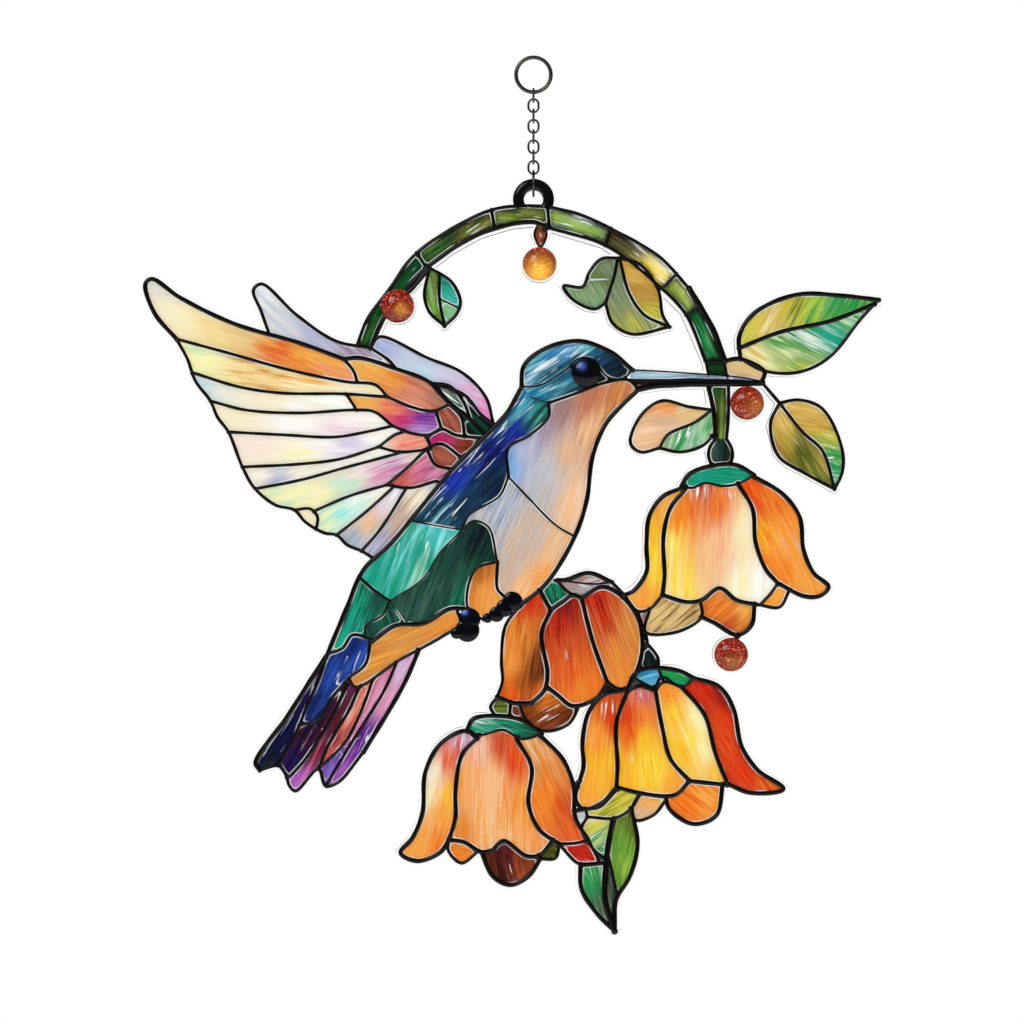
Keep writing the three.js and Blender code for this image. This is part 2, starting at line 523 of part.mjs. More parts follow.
function makeSheet(traced) {
  const hole = disc(hanger, TAB_HOLE_RADIUS, SHEET_FRONT - CUT_PAST, SHEET_BACK + CUT_PAST);
  const tab = disc(hanger, TAB_RADIUS + SHEET_MARGIN, SHEET_FRONT, SHEET_BACK).subtract(hole);
  const parts = [tab];
  for (const { width, path } of Object.values(traced)) {
    parts.push(...strips(path, width + 2 * SHEET_MARGIN, SHEET_FRONT, SHEET_BACK));
  }
  for (const entries of Object.values(PATCHES)) {
    parts.push(plate(patchOutline(entries, traced), SHEET_FRONT, SHEET_BACK));
  }
  for (const [name, centre] of Object.entries(BEADS)) {
    const stem = [place(centre), place(BEAD_STEMS[name])];
    parts.push(disc(place(centre), BEAD_RADIUS + SHEET_MARGIN, SHEET_FRONT, SHEET_BACK));
    parts.push(...strips(stem, FINE + 2 * SHEET_MARGIN, SHEET_FRONT, SHEET_BACK));
  }
  for (const [x, y, radius] of TOES) {
    parts.push(disc(place([x, y]), radius * UNIT + SHEET_MARGIN, SHEET_FRONT, SHEET_BACK));
  }
  return joined(parts);
}

function makeLeading(traced) {
  const front = SHEET_FRONT - LEADING_HEIGHT;
  const hole = disc(hanger, TAB_HOLE_RADIUS, front - CUT_PAST, SHEET_BACK);
  const tabFace = disc(hanger, TAB_RADIUS, front, SHEET_FRONT).subtract(hole);
  const parts = [tabFace.trimByPlane([0, 0, 1], vineTopZ)];
  for (const { width, path } of Object.values(traced)) {
    parts.push(...strips(path, width, front, SHEET_FRONT));
  }
  for (const [x, y, radius] of TOES) {
    parts.push(disc(place([x, y]), radius * UNIT, front, SHEET_FRONT));
  }
  const settings = Object.values(BEADS).map((centre) => [centre, BEAD_RADIUS]);
  settings.push([EYE, EYE_RADIUS]);
  for (const [name, centre] of Object.entries(BEADS)) {
    parts.push(...strips([place(centre), place(BEAD_STEMS[name])], FINE, front, SHEET_FRONT));
  }
  let network = joined(parts);
  for (const [centre, radius] of settings) {
    network = network.subtract(disc(place(centre), radius + SETTING_GAP, front - CUT_PAST, SHEET_BACK));
  }
  return network.asOriginal().simplify(SMALLEST_STEP);
}

// A flat-backed dome lying on the sheet's front face.
function makeDome(centre, radius, rim, dome) {
  const profile = [new THREE.Vector2(0, 0), new THREE.Vector2(radius, 0)];
  for (let i = 0; i <= DOME_RINGS; i += 1) {
    const angle = (i / DOME_RINGS) * (Math.PI / 2);
    profile.push(new THREE.Vector2(radius * Math.cos(angle), rim + dome * Math.sin(angle)));
  }
  profile[profile.length - 1].x = 0;
  const geometry = new THREE.LatheGeometry(profile, DOME_SIDES);
  const position = geometry.getAttribute("position");
  const { x, y } = place(centre);
  for (let i = 0; i < position.count; i += 1) {
    position.setXYZ(i, x + position.getX(i), SHEET_FRONT - position.getY(i), y - position.getZ(i));
  }
  return toGeometry(solid(geometry));
}

// A closed loop of wire: two half circles joined by straight sides, standing in the XZ or the YZ plane.
function makeWireLoop(innerWidth, innerLength, wire, centre, edgeOn, roughBends) {
  const bends = 2 * Math.round(roughBends / 2);
  const bendRadius = (innerWidth + wire) / 2;
  const straight = (innerLength - innerWidth) / 2;
  const vertices = [];
  const faces = [];
  for (let i = 0; i < bends; i += 1) {
    const angle = ((i + 0.5) / bends) * 2 * Math.PI;
    const lift = Math.sin(angle) > 0 ? straight : -straight;
    for (let j = 0; j < WIRE_SIDES; j += 1) {
      const around = (j / WIRE_SIDES) * 2 * Math.PI;
      const reach = bendRadius + (wire / 2) * Math.cos(around);
      const across = reach * Math.cos(angle);
      const up = reach * Math.sin(angle) + lift;
      const depth = (wire / 2) * Math.sin(around);
      vertices.push(centre.x + (edgeOn ? depth : across), centre.y + (edgeOn ? across : depth), centre.z + up);
    }
  }
  for (let i = 0; i < bends; i += 1) {
    const next = (i + 1) % bends;
    for (let j = 0; j < WIRE_SIDES; j += 1) {
      const k = (j + 1) % WIRE_SIDES;
      const [here, ahead] = [i * WIRE_SIDES, next * WIRE_SIDES];
      const [a, b, c, d] = [here + j, ahead + j, ahead + k, here + k];
      faces.push(...(edgeOn ? [a, b, c, a, c, d] : [a, c, b, a, d, c]));
    }
  }
  const geometry = new THREE.BufferGeometry();
  geometry.setAttribute("position", new THREE.Float32BufferAttribute(vertices, 3));
  geometry.setIndex(faces);
  geometry.computeVertexNormals();
  return geometry;
}

const clearAcrylic = new THREE.MeshStandardMaterial({ color: 0xf2ead8, roughness: 0.05, metalness: 0 });
const blackLeading = new THREE.MeshStandardMaterial({ color: 0x0b0908, roughness: 0.2, metalness: 0 });
const amberResin = new THREE.MeshStandardMaterial({ color: 0xb5331a, roughness: 0.1, metalness: 0 });
const blackResin = new THREE.MeshStandardMaterial({ color: 0x05070a, roughness: 0.05, metalness: 0 });
const darkMetal = new THREE.MeshStandardMaterial({ color: 0x55504c, roughness: 0.35, metalness: 1 });

const suncatcher = new THREE.Group();

function add(name, geometry, material) {
  const mesh = new THREE.Mesh(geometry, material);
  mesh.name = name;
  suncatcher.add(mesh);
}

const traced = traceLines();
add("acrylic_sheet", toGeometry(makeSheet(traced)), clearAcrylic);
add("leading", toGeometry(makeLeading(traced)), blackLeading);
for (const [name, centre] of Object.entries(BEADS)) {
  add(name, makeDome(centre, BEAD_RADIUS, BEAD_RIM, BEAD_DOME), amberResin);
}
add("eye", makeDome(EYE, EYE_RADIUS, EYE_RIM, EYE_DOME), blackResin);

const jumpRingCentre = new THREE.Vector3(0, jumpRingY, jumpRingZ);
const jumpRingWidth = 2 * JUMP_RING_INNER_RADIUS;
const jumpRing = makeWireLoop(
  jumpRingWidth,
  jumpRingWidth,
  JUMP_RING_WIRE,
  jumpRingCentre,
  true,
  JUMP_RING_BENDS,
);
add("jump_ring", jumpRing, darkMetal);
for (let i = 0; i < LINK_COUNT; i += 1) {
  const centre = new THREE.Vector3(0, jumpRingY, topLinkZ - i * linkPitch);
  const edgeOn = i % 2 === 0;
  const link = makeWireLoop(LINK_INNER_WIDTH, LINK_INNER_LENGTH, LINK_WIRE, centre, edgeOn, LINK_BENDS);
  add(`chain_link_${i + 1}`, link, darkMetal);
}
const hangingRingCentre = new THREE.Vector3(0, jumpRingY, hangingRingZ);
const hangingRingWidth = 2 * HANGING_RING_INNER_RADIUS;
const hangingRing = makeWireLoop(
  hangingRingWidth,
  hangingRingWidth,
  HANGING_RING_WIRE,
  hangingRingCentre,
  false,
  HANGING_RING_BENDS,
);
add("hanging_ring", hangingRing, darkMetal);

export default suncatcher;
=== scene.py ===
# A hanging suncatcher: a hummingbird at bell flowers inside a vine arch, on one laser-cut sheet of clear
# acrylic with the picture printed in see-through ink, raised black lines, domed beads and a dark wire chain.
import math
import random

import bpy
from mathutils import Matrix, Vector, noise
from mathutils.geometry import delaunay_2d_cdt
from mathutils.kdtree import KDTree


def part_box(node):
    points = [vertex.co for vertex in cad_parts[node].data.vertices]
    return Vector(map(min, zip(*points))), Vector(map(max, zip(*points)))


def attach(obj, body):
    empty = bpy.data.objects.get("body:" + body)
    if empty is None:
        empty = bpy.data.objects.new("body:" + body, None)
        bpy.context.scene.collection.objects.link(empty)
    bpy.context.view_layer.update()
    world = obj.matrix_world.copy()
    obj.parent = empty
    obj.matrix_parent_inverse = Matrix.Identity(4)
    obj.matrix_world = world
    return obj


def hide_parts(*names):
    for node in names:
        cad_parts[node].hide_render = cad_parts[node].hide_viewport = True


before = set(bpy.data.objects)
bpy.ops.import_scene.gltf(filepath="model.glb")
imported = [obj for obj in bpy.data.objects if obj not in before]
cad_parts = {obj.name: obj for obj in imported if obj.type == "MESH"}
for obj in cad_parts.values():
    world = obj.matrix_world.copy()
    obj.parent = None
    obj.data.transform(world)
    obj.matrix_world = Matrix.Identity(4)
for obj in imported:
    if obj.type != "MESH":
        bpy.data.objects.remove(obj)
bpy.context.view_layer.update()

MM = 0.001

# The sizes that the solids are built from.
SHEET_WIDTH = 150 * MM
LEADING_HEIGHT = 0.5 * MM
FINE = 0.9 * MM
BOLD = 1.2 * MM
HEAVY = 1.6 * MM
TAB_RADIUS = 4.2 * MM
TAB_HOLE_RADIUS = 1.95 * MM
TAB_RISE = 1.65 * MM
BEAD_RADIUS = 3.45 * MM
BEAD_RIM = 0.6 * MM
BEAD_DOME = 2 * MM
EYE_RADIUS = 2.95 * MM
EYE_RIM = 0.5 * MM
EYE_DOME = 1 * MM
HANGING_RING_WIRE = 0.8 * MM
JUMP_RING_WIRE = 0.5 * MM
LINK_WIRE = 0.45 * MM
LINK_COUNT = 8
JOIN_REACH = 1.1 * MM

# The cartoon is drawn in its own units, x to the right and y down, CARTOON_WIDTH of them across the sheet.
CARTOON_WIDTH = 736
UNIT = SHEET_WIDTH / CARTOON_WIDTH
CHAIN_X = 534
VINE_TOP_Y = 206.5

sheet_low, sheet_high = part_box("acrylic_sheet")
SHEET_FRONT = sheet_low[1]
TAB_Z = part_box("leading")[1][2] - TAB_RADIUS
VINE_TOP_Z = TAB_Z - TAB_RISE

# The leading's lines, each with its width and the points that its curve runs through.
STROKES = {
    "wing_top": (BOLD, (177, 338), (155, 312), (146, 283), (152, 278), (181, 297), (235, 323), (300, 342),
        (344, 358)),
    "wing_trail": (FINE, (177, 338), (188, 358), (196, 380), (211, 400), (218, 416), (229, 431), (243, 466),
        (255, 487), (276, 504), (295, 509), (306, 521), (325, 532), (337, 534), (348, 544), (362, 550),
        (375, 558)),
    "feather_1": (FINE, (177, 338), (225, 351), (290, 369), (348, 381), (376, 384), (388, 396)),
    "feather_2": (FINE, (194, 372), (240, 386), (281, 392), (345, 393), (388, 396)),
    "covert_line": (FINE, (388, 396), (412, 406), (434, 410), (450, 403)),
    "feather_3": (FINE, (211, 400), (246, 409), (300, 412), (357, 409), (375, 411), (393, 425)),
    "feather_4": (FINE, (229, 431), (286, 434), (336, 436), (371, 430), (393, 425)),
    "feather_5": (FINE, (243, 466), (301, 463), (341, 458), (379, 446)),
    "feather_6": (FINE, (255, 488), (301, 479), (348, 466), (400, 452)),
    "feather_7": (FINE, (317, 509), (350, 495), (387, 484)),
    "feather_8": (FINE, (337, 534), (365, 512), (393, 487)),
    "feather_9": (FINE, (362, 550), (381, 528), (407, 487)),
    "wing_notch": (FINE, (295, 509), (311, 508), (318, 516), (317, 527)),
    "covert_top": (BOLD, (344, 358), (360, 357), (394, 367), (431, 382), (450, 403)),
    "covert_tip": (FINE, (344, 358), (354, 370), (358, 382)),
    "covert_left": (FINE, (346, 392), (352, 401), (357, 409)),
    "covert_low": (FINE, (393, 425), (411, 432), (428, 434), (442, 428)),
    "covert_right": (FINE, (436, 409), (442, 428)),
    "coral_top": (FINE, (379, 446), (395, 434), (404, 431)),
    "coral_low": (FINE, (379, 446), (400, 451), (432, 448)),
    "coral_right": (FINE, (426, 434), (432, 448)),
    "rose_left": (FINE, (425, 450), (405, 469), (387, 484)),
    "rose_low": (FINE, (387, 484), (410, 487), (437, 480)),
    "brick_edge": (FINE, (450, 403), (462, 417), (465, 434)),
    "brick_low": (FINE, (428, 450), (436, 464), (453, 468)),
    "plum_top": (FINE, (428, 436), (442, 428), (456, 434), (480, 437)),
    "plum_right": (FINE, (480, 437), (472, 449), (461, 456)),
    "plum_line": (FINE, (427, 447), (442, 443), (461, 456)),
    "quill_top": (FINE, (431, 382), (450, 385), (464, 401), (471, 419)),
    "quill_low": (BOLD, (431, 382), (447, 399), (471, 419)),
    "back_left": (FINE, (269, 331), (262, 311), (254, 289), (262, 283), (297, 314), (336, 340), (371, 347)),
    "back_split": (FINE, (371, 347), (389, 359), (397, 368)),
    "back_right": (FINE, (371, 347), (380, 336), (428, 357), (463, 372), (486, 396), (494, 423)),
    "back_inner": (FINE, (431, 382), (465, 394), (482, 414), (494, 423)),
    "vine_outer_left": (FINE, (357, 346), (368, 318), (390, 288), (413, 256), (450, 229), (492, 209),
        (520, 205), (548, 205.5)),
    "vine_outer_right": (FINE, (548, 205.5), (580, 213.5), (612, 228), (660, 256), (690, 288)),
    "vine_outer_low": (HEAVY, (690, 288), (714, 330), (725, 360)),
    "vine_inner_left": (BOLD, (371, 347), (385, 316), (405, 289), (432, 263), (480, 233), (532, 221),
        (550, 227)),
    "vine_inner_right": (FINE, (550, 227), (607, 245), (657, 283), (686, 313), (706, 360)),
    "vine_bar_1": (FINE, (418, 253), (427, 267)),
    "vine_bar_2": (FINE, (492, 209), (495, 227)),
    "vine_bar_3": (FINE, (548, 205.5), (550, 227)),
    "vine_bar_4": (FINE, (611, 228), (606, 244)),
    "vine_bar_5": (FINE, (678, 272), (664, 286)),
    "vine_bar_6": (FINE, (700, 303), (687, 314)),
    "vine_bar_7": (FINE, (706, 360), (725, 360)),
    "vine_end": (FINE, (357, 346), (371, 347)),
    "node_left": (FINE, (706, 360), (709, 375)),
    "node_right": (FINE, (725, 360), (728, 377)),
    "stalk_left": (BOLD, (709, 386), (714, 410), (716, 438)),
    "stalk_right": (FINE, (729, 386), (729, 412), (727, 438)),
    "knob_left": (FINE, (716, 438), (710.5, 446), (709, 455), (712, 464)),
    "knob_right": (FINE, (727, 438), (732, 447), (733, 455), (731, 463)),
    "bail": (FINE, (541, 222), (547, 233), (541, 246), (535, 233), (541, 222)),
    "bud_stem": (BOLD, (430, 267), (412, 288), (405, 294)),
    "small_leaf_left": (FINE, (430, 267), (425, 295), (430, 311), (445, 325)),
    "small_leaf_right": (FINE, (430, 267), (452, 281), (461, 301), (457, 313), (445, 325)),
    "small_leaf_rib": (FINE, (440, 272), (440, 298), (445, 325)),
    "small_leaf_cross": (FINE, (441, 298), (459, 307)),
    "twin_left": (FINE, (618, 257), (602, 258), (590, 271), (583, 286), (564, 285), (574, 299), (595, 308),
        (606, 302)),
    "twin_shared": (FINE, (618, 257), (615, 274), (606, 302)),
    "twin_right_low": (FINE, (606, 302), (613, 322), (632, 333), (670, 326)),
    "twin_right_top": (FINE, (618, 257), (641, 264), (659, 290), (663, 314), (670, 326)),
    "twin_rib": (FINE, (620, 257), (630, 293), (645, 314), (670, 326)),
    "leaf_a_top": (BOLD, (741, 358), (740, 335), (754, 313), (796, 294), (845, 295), (879, 299)),
    "leaf_a_low": (FINE, (741, 358), (765, 370), (800, 371), (830, 356), (862, 317), (879, 299)),
    "leaf_a_rib": (BOLD, (740, 347), (781, 331), (831, 320), (875, 303)),
    "leaf_a_stem": (BOLD, (725, 360), (741, 358), (765, 371), (762, 381)),
    "leaf_b_stem": (FINE, (762, 381), (780, 402)),
    "leaf_b_left": (FINE, (780, 402), (771, 423), (779, 455), (805, 472), (835, 488)),
    "leaf_b_right": (FINE, (780, 402), (800, 399), (823, 408), (842, 446), (843, 470), (835, 488)),
    "leaf_b_rib": (FINE, (780, 402), (803, 431), (823, 450), (835, 488)),
    "mid_leaf_top": (FINE, (712, 409), (690, 406), (662, 400), (642, 414), (631, 442), (641, 451),
        (660, 447)),
    "mid_leaf_low": (FINE, (660, 447), (681, 451), (704, 444), (716, 431)),
    "mid_leaf_rib": (FINE, (712, 409), (696, 421), (668, 434), (660, 447)),
    "crown_top": (BOLD, (522, 386), (524, 366), (541, 350), (578, 340), (611, 351), (633, 369)),
    "crown_low": (FINE, (522, 386), (541, 384), (572, 365)),
    "brow": (FINE, (572, 364), (577, 358.5), (586, 356.5), (596, 360), (601, 368), (607, 375), (615, 378),
        (624, 377.5), (633, 369)),
    "chin": (BOLD, (549, 402), (575, 393), (605, 382), (628, 379), (639, 388)),
    "cheek": (FINE, (534, 397), (549, 402)),
    "beak_top": (FINE, (633, 369), (647, 369.5), (693, 372.5), (739, 376), (762, 380)),
    "beak_mid": (FINE, (628, 379), (647, 379.5), (693, 379), (739, 380), (762, 382)),
    "beak_low": (BOLD, (639, 388), (655, 385), (693, 383), (739, 382.5), (762, 382)),
    "nape": (BOLD, (522, 386), (508, 411), (484, 437), (453, 468), (420, 508), (391, 543), (364, 569),
        (348, 605), (328, 653)),
    "throat_front": (BOLD, (639, 388), (607, 422), (593, 456), (587, 500), (575, 536), (547, 582),
        (520, 605)),
    "neck": (BOLD, (549, 402), (549, 416), (529, 435), (509, 447), (509, 476)),
    "breast_line": (FINE, (509, 476), (530, 498), (556, 524), (576, 536)),
    "back_low": (FINE, (509, 476), (500, 495), (470, 514), (462, 529)),
    "teal_top": (FINE, (411, 520), (433, 524), (462, 529)),
    "teal_right": (FINE, (462, 529), (440, 552), (424, 577), (390, 600)),
    "teal_low": (FINE, (361, 577), (374, 589), (390, 600)),
    "flank_top": (FINE, (462, 529), (474, 520), (489, 526), (498, 561)),
    "thigh_left": (FINE, (498, 561), (478, 567), (469, 584), (469, 608), (484, 619)),
    "thigh_right": (FINE, (498, 561), (498, 588), (503, 594)),
    "flank_low": (BOLD, (469, 608), (450, 608), (425, 622), (395, 625), (371, 642)),
    "flank_line": (FINE, (390, 600), (406, 624)),
    "flank_left": (FINE, (390, 600), (383, 614), (366, 625), (366, 635)),
    "rump_low": (FINE, (328, 653), (343, 647), (353, 634), (371, 638)),
    "leg_low": (FINE, (458, 611), (461, 622), (440, 637), (400, 659), (356, 686), (349, 677)),
    "leg_left": (FINE, (371, 640), (366, 663), (349, 677)),
    "tail_left": (BOLD, (328, 653), (313, 676), (286, 718), (260, 753), (256, 763), (260, 769)),
    "tail_end": (FINE, (260, 769), (279, 765), (286, 773), (290, 785), (296, 790), (319, 768), (326, 785),
        (339, 781), (364, 751)),
    "tail_right": (BOLD, (364, 751), (391, 707), (406, 680), (419, 650)),
    "tail_1": (FINE, (327, 656), (318, 682), (308, 704), (300, 724)),
    "tail_2": (FINE, (300, 724), (318, 719), (333, 696), (349, 678)),
    "tail_5": (FINE, (300, 724), (295, 736), (278, 765)),
    "tail_6": (FINE, (348, 684), (328, 724), (306, 758), (291, 775)),
    "tail_7": (FINE, (361, 684), (348, 712), (330, 742), (319, 768)),
    "tail_9": (FINE, (374, 677), (360, 714), (345, 742), (319, 768)),
    "tail_8": (FINE, (397, 662), (385, 689), (350, 745), (328, 782)),
    "bell_a_cap_top": (BOLD, (682, 485), (690, 473), (712, 465), (736, 464), (755, 474)),
    "bell_a_cap_low": (FINE, (682, 485), (692, 487), (706, 482), (722, 485), (738, 483), (755, 474)),
    "bell_a_petal_1": (BOLD, (682, 487), (663, 496), (650, 515), (647, 545), (647, 571), (634, 590),
        (625, 594)),
    "bell_a_hem_1": (FINE, (625, 594), (638, 610), (650, 608), (663, 594)),
    "bell_a_line_1": (BOLD, (686, 488), (671, 507), (664, 535), (665, 575), (663, 594)),
    "bell_a_line_2": (BOLD, (739, 484), (753, 508), (756, 541), (766, 568), (778, 582)),
    "bell_a_petal_3": (BOLD, (755, 476), (783, 493), (800, 516), (804, 549), (814, 572), (829, 586),
        (820, 595), (804, 595), (778, 582)),
    "bell_a_hem_2": (BOLD, (663, 594), (687, 601), (702, 599), (720, 587), (737, 599), (760, 604)),
    "bell_a_hem_3": (FINE, (760, 604), (769, 595), (778, 583)),
    "bell_a_tab": (FINE, (760, 604), (780, 606), (790, 589)),
    "bell_a_tan": (FINE, (650, 609), (646, 631), (677, 631), (702, 616), (701, 601)),
    "bell_a_lip": (BOLD, (702, 616), (715, 622), (738, 634), (752, 624), (755, 604)),
    "bell_b_knot": (FINE, (638, 610), (642, 622), (646, 631)),
    "bell_b_hump": (BOLD, (555, 579), (566, 579), (589, 572), (612, 581)),
    "bell_b_hump_low": (FINE, (563, 580), (596, 583), (612, 581)),
    "bell_b_left": (FINE, (522, 603), (506, 625), (502, 660), (503, 680), (498, 696)),
    "bell_b_line_1": (BOLD, (551, 610), (542, 633), (548, 672), (545, 689), (532, 702)),
    "bell_b_line_2": (BOLD, (582, 597), (593, 640), (608, 682)),
    "bell_b_hem_1": (BOLD, (498, 696), (515, 702), (532, 702)),
    "bell_b_hem_2": (BOLD, (546, 685), (558, 694), (573, 705), (597, 697), (608, 682)),
    "bell_b_hem_3": (BOLD, (608, 682), (618, 688), (628, 688)),
    "bell_b_right": (BOLD, (582, 597), (602, 586), (618, 592), (637, 614), (643, 640), (639, 666),
        (628, 688)),
    "bell_b_bridge": (FINE, (612, 581), (625, 594)),
    "bell_b_cap_left": (BOLD, (541, 591), (551, 609)),
    "bell_b_cap_right": (BOLD, (551, 609), (564, 600), (573, 594), (582, 597)),
    "bell_b_cap_top": (FINE, (558, 580), (565, 588), (573, 594)),
    "bell_b_lip": (FINE, (520, 703), (526, 718), (544, 730), (569, 723), (580, 704)),
    "bell_b_drop": (FINE, (648, 643), (646, 631)),
    "bud_left": (FINE, (648, 643), (641, 655), (641, 667)),
    "bud_right": (FINE, (648, 643), (658, 656), (659, 667)),
    "disc_left": (FINE, (498, 696), (491, 706), (496, 715)),
    "disc_right": (FINE, (511, 702), (510, 715)),
    "bell_c_cap_top": (BOLD, (468, 728), (474, 718), (502, 715), (524, 720), (543, 733)),
    "bell_c_cap_low": (FINE, (468, 728), (480, 734), (504, 729), (522, 738), (543, 733)),
    "bell_c_petal_1": (BOLD, (477, 737), (466, 730), (442, 742), (426, 771), (423, 812), (413, 837),
        (401, 852), (418, 860), (441, 851), (451, 836)),
    "bell_c_line_1": (BOLD, (480, 735), (463, 753), (456, 790), (456, 816), (450, 838)),
    "bell_c_line_2": (BOLD, (517, 738), (532, 766), (529, 803), (540, 829), (560, 843)),
    "bell_c_right": (BOLD, (540, 734), (563, 758), (574, 785), (576, 817), (589, 839)),
    "bell_c_tab": (FINE, (449, 838), (449, 850), (462, 862), (479, 850)),
    "bell_c_hem_1": (BOLD, (450, 839), (464, 841), (482, 851), (493, 849)),
    "bell_c_hem_2": (BOLD, (493, 849), (504, 840), (527, 855), (540, 854), (553, 840)),
    "bell_c_hem_3": (FINE, (560, 843), (577, 842), (589, 839)),
    "bell_c_lip": (BOLD, (482, 851), (493, 875), (511, 884), (529, 875), (541, 858)),
    "bell_c_olive": (FINE, (541, 858), (556, 857), (560, 844)),
    "bell_c_red": (FINE, (560, 844), (580, 863), (601, 863)),
    "bell_c_red_right": (FINE, (589, 839), (601, 863)),
    "bell_d_cap_top": (BOLD, (628, 688), (636, 672), (652, 667), (680, 670), (694, 677)),
    "bell_d_cap_low": (FINE, (634, 677), (655, 686), (662, 676), (682, 686), (694, 677)),
    "bell_d_cap_line": (FINE, (659, 668), (662, 676)),
    "bell_d_petal_1": (BOLD, (625, 689), (604, 694), (589, 712), (583, 742), (584, 766), (576, 798),
        (584, 808), (602, 802), (617, 786)),
    "bell_d_line_1": (BOLD, (628, 690), (617, 722), (618, 765), (617, 786)),
    "bell_d_top_2": (BOLD, (628, 690), (640, 685), (656, 690)),
    "bell_d_line_2": (BOLD, (656, 690), (663, 728), (671, 758), (690, 780)),
    "bell_d_top_3": (FINE, (656, 690), (664, 681), (682, 686)),
    "bell_d_line_3": (BOLD, (682, 686), (705, 714), (716, 753), (728, 783)),
    "bell_d_petal_4": (BOLD, (694, 677), (720, 686), (734, 708), (742, 745), (758, 769), (784, 788),
        (752, 792), (728, 783)),
    "bell_d_hem_1": (BOLD, (617, 786), (640, 792), (675, 794), (690, 780)),
    "bell_d_hem_2": (BOLD, (690, 780), (728, 784)),
    "bell_d_lip": (BOLD, (666, 795), (670, 808), (694, 823), (717, 814), (723, 785)),
    "bell_d_peach": (FINE, (640, 793), (633, 806), (636, 819), (654, 814), (667, 798)),
    "joint_left": (BOLD, (574, 785), (580, 780)),
    "joint_low": (BOLD, (575, 810), (584, 808)),
    "vine_leaf_top": (FINE, (584, 808), (600, 806), (618, 788)),
    "vine_leaf_low": (FINE, (588, 816), (615, 817), (631, 808), (641, 793)),
    "sprout_left": (FINE, (588, 816), (582, 828), (592, 846), (607, 860)),
    "clear_drop": (FINE, (586, 808), (588, 816)),
    "stem_main": (HEAVY, (614, 817), (608, 850), (606, 900), (615, 930)),
    "pod_left": (FINE, (609, 855), (617, 892)),
    "pod_right": (BOLD, (632, 808), (638, 845), (630, 876), (617, 898), (615, 930)),
    "spear_left": (BOLD, (581, 864), (582, 888), (597, 912), (615, 930)),
    "spear_top": (BOLD, (581, 864), (607, 862)),
}

# Where a pane of colour ends with no line over it, under a toe, the eye or a neighbour.
SEAMS = {
    "toes": ((484, 619), (497, 611), (520, 605)),
    "foot": ((469, 608), (484, 619)),
    "leg": ((458, 611), (469, 608)),
    "foot_top": ((503, 594), (512, 600), (520, 605)),
    "lip_foot": ((544, 730), (543, 733)),
    "knob_top": ((716, 438), (727, 438)),
    "nook_top": ((596, 696), (597, 703)),
    "cheek": ((522, 386), (534, 397)),
    "bell_b_leaf": ((547, 582), (555, 579)),
    "beak_root": ((628, 379), (633, 369)),
}

BEADS = {
    "bead_top": (540, 263),
    "bead_left": (398, 305),
    "bead_right": (747.5, 402),
    "bead_lower": (731.5, 653.5),
}
EYE = (586.5, 371.5)

# Where light gathers in each resin dome: its strength, its middle and its reach.
GLOWS = {
    "bead_top": (1, 540, 273, 13),
    "bead_left": (0.35, 402, 309, 6),
    "bead_right": (0.14, 756, 406, 10),
    "bead_lower": (0.12, 733, 662, 9),
    "eye": (0.7, 582, 365, 3.5),
    "claws": (0.9, 465, 611, 2.6),
}

# How much of its cut width each line of enamel shows, and the lines that were drawn finer still.
LINE_SHARE = 0.8
SLIM = {
    "beak_top": 0.5, "beak_mid": 0.9, "beak_low": 1.3, "brow": 0.6, "crown_low": 0.6, "cheek": 0.4,
    "bell_c_cap_low": 0.8, "bell_a_cap_low": 0.8, "neck": 0.7, "chin": 0.7, "breast_line": 0.7,
    "back_low": 0.7, "teal_top": 0.5, "teal_right": 0.5, "flank_line": 0.4, "flank_left": 0.7,
    "flank_top": 0.7, "thigh_left": 0.8, "small_leaf_cross": 0.6, "bell_b_hump_low": 0.6, "node_left": 0.7,
    "node_right": 0.7, "bail": 0.7, "vine_end": 0.5,
}

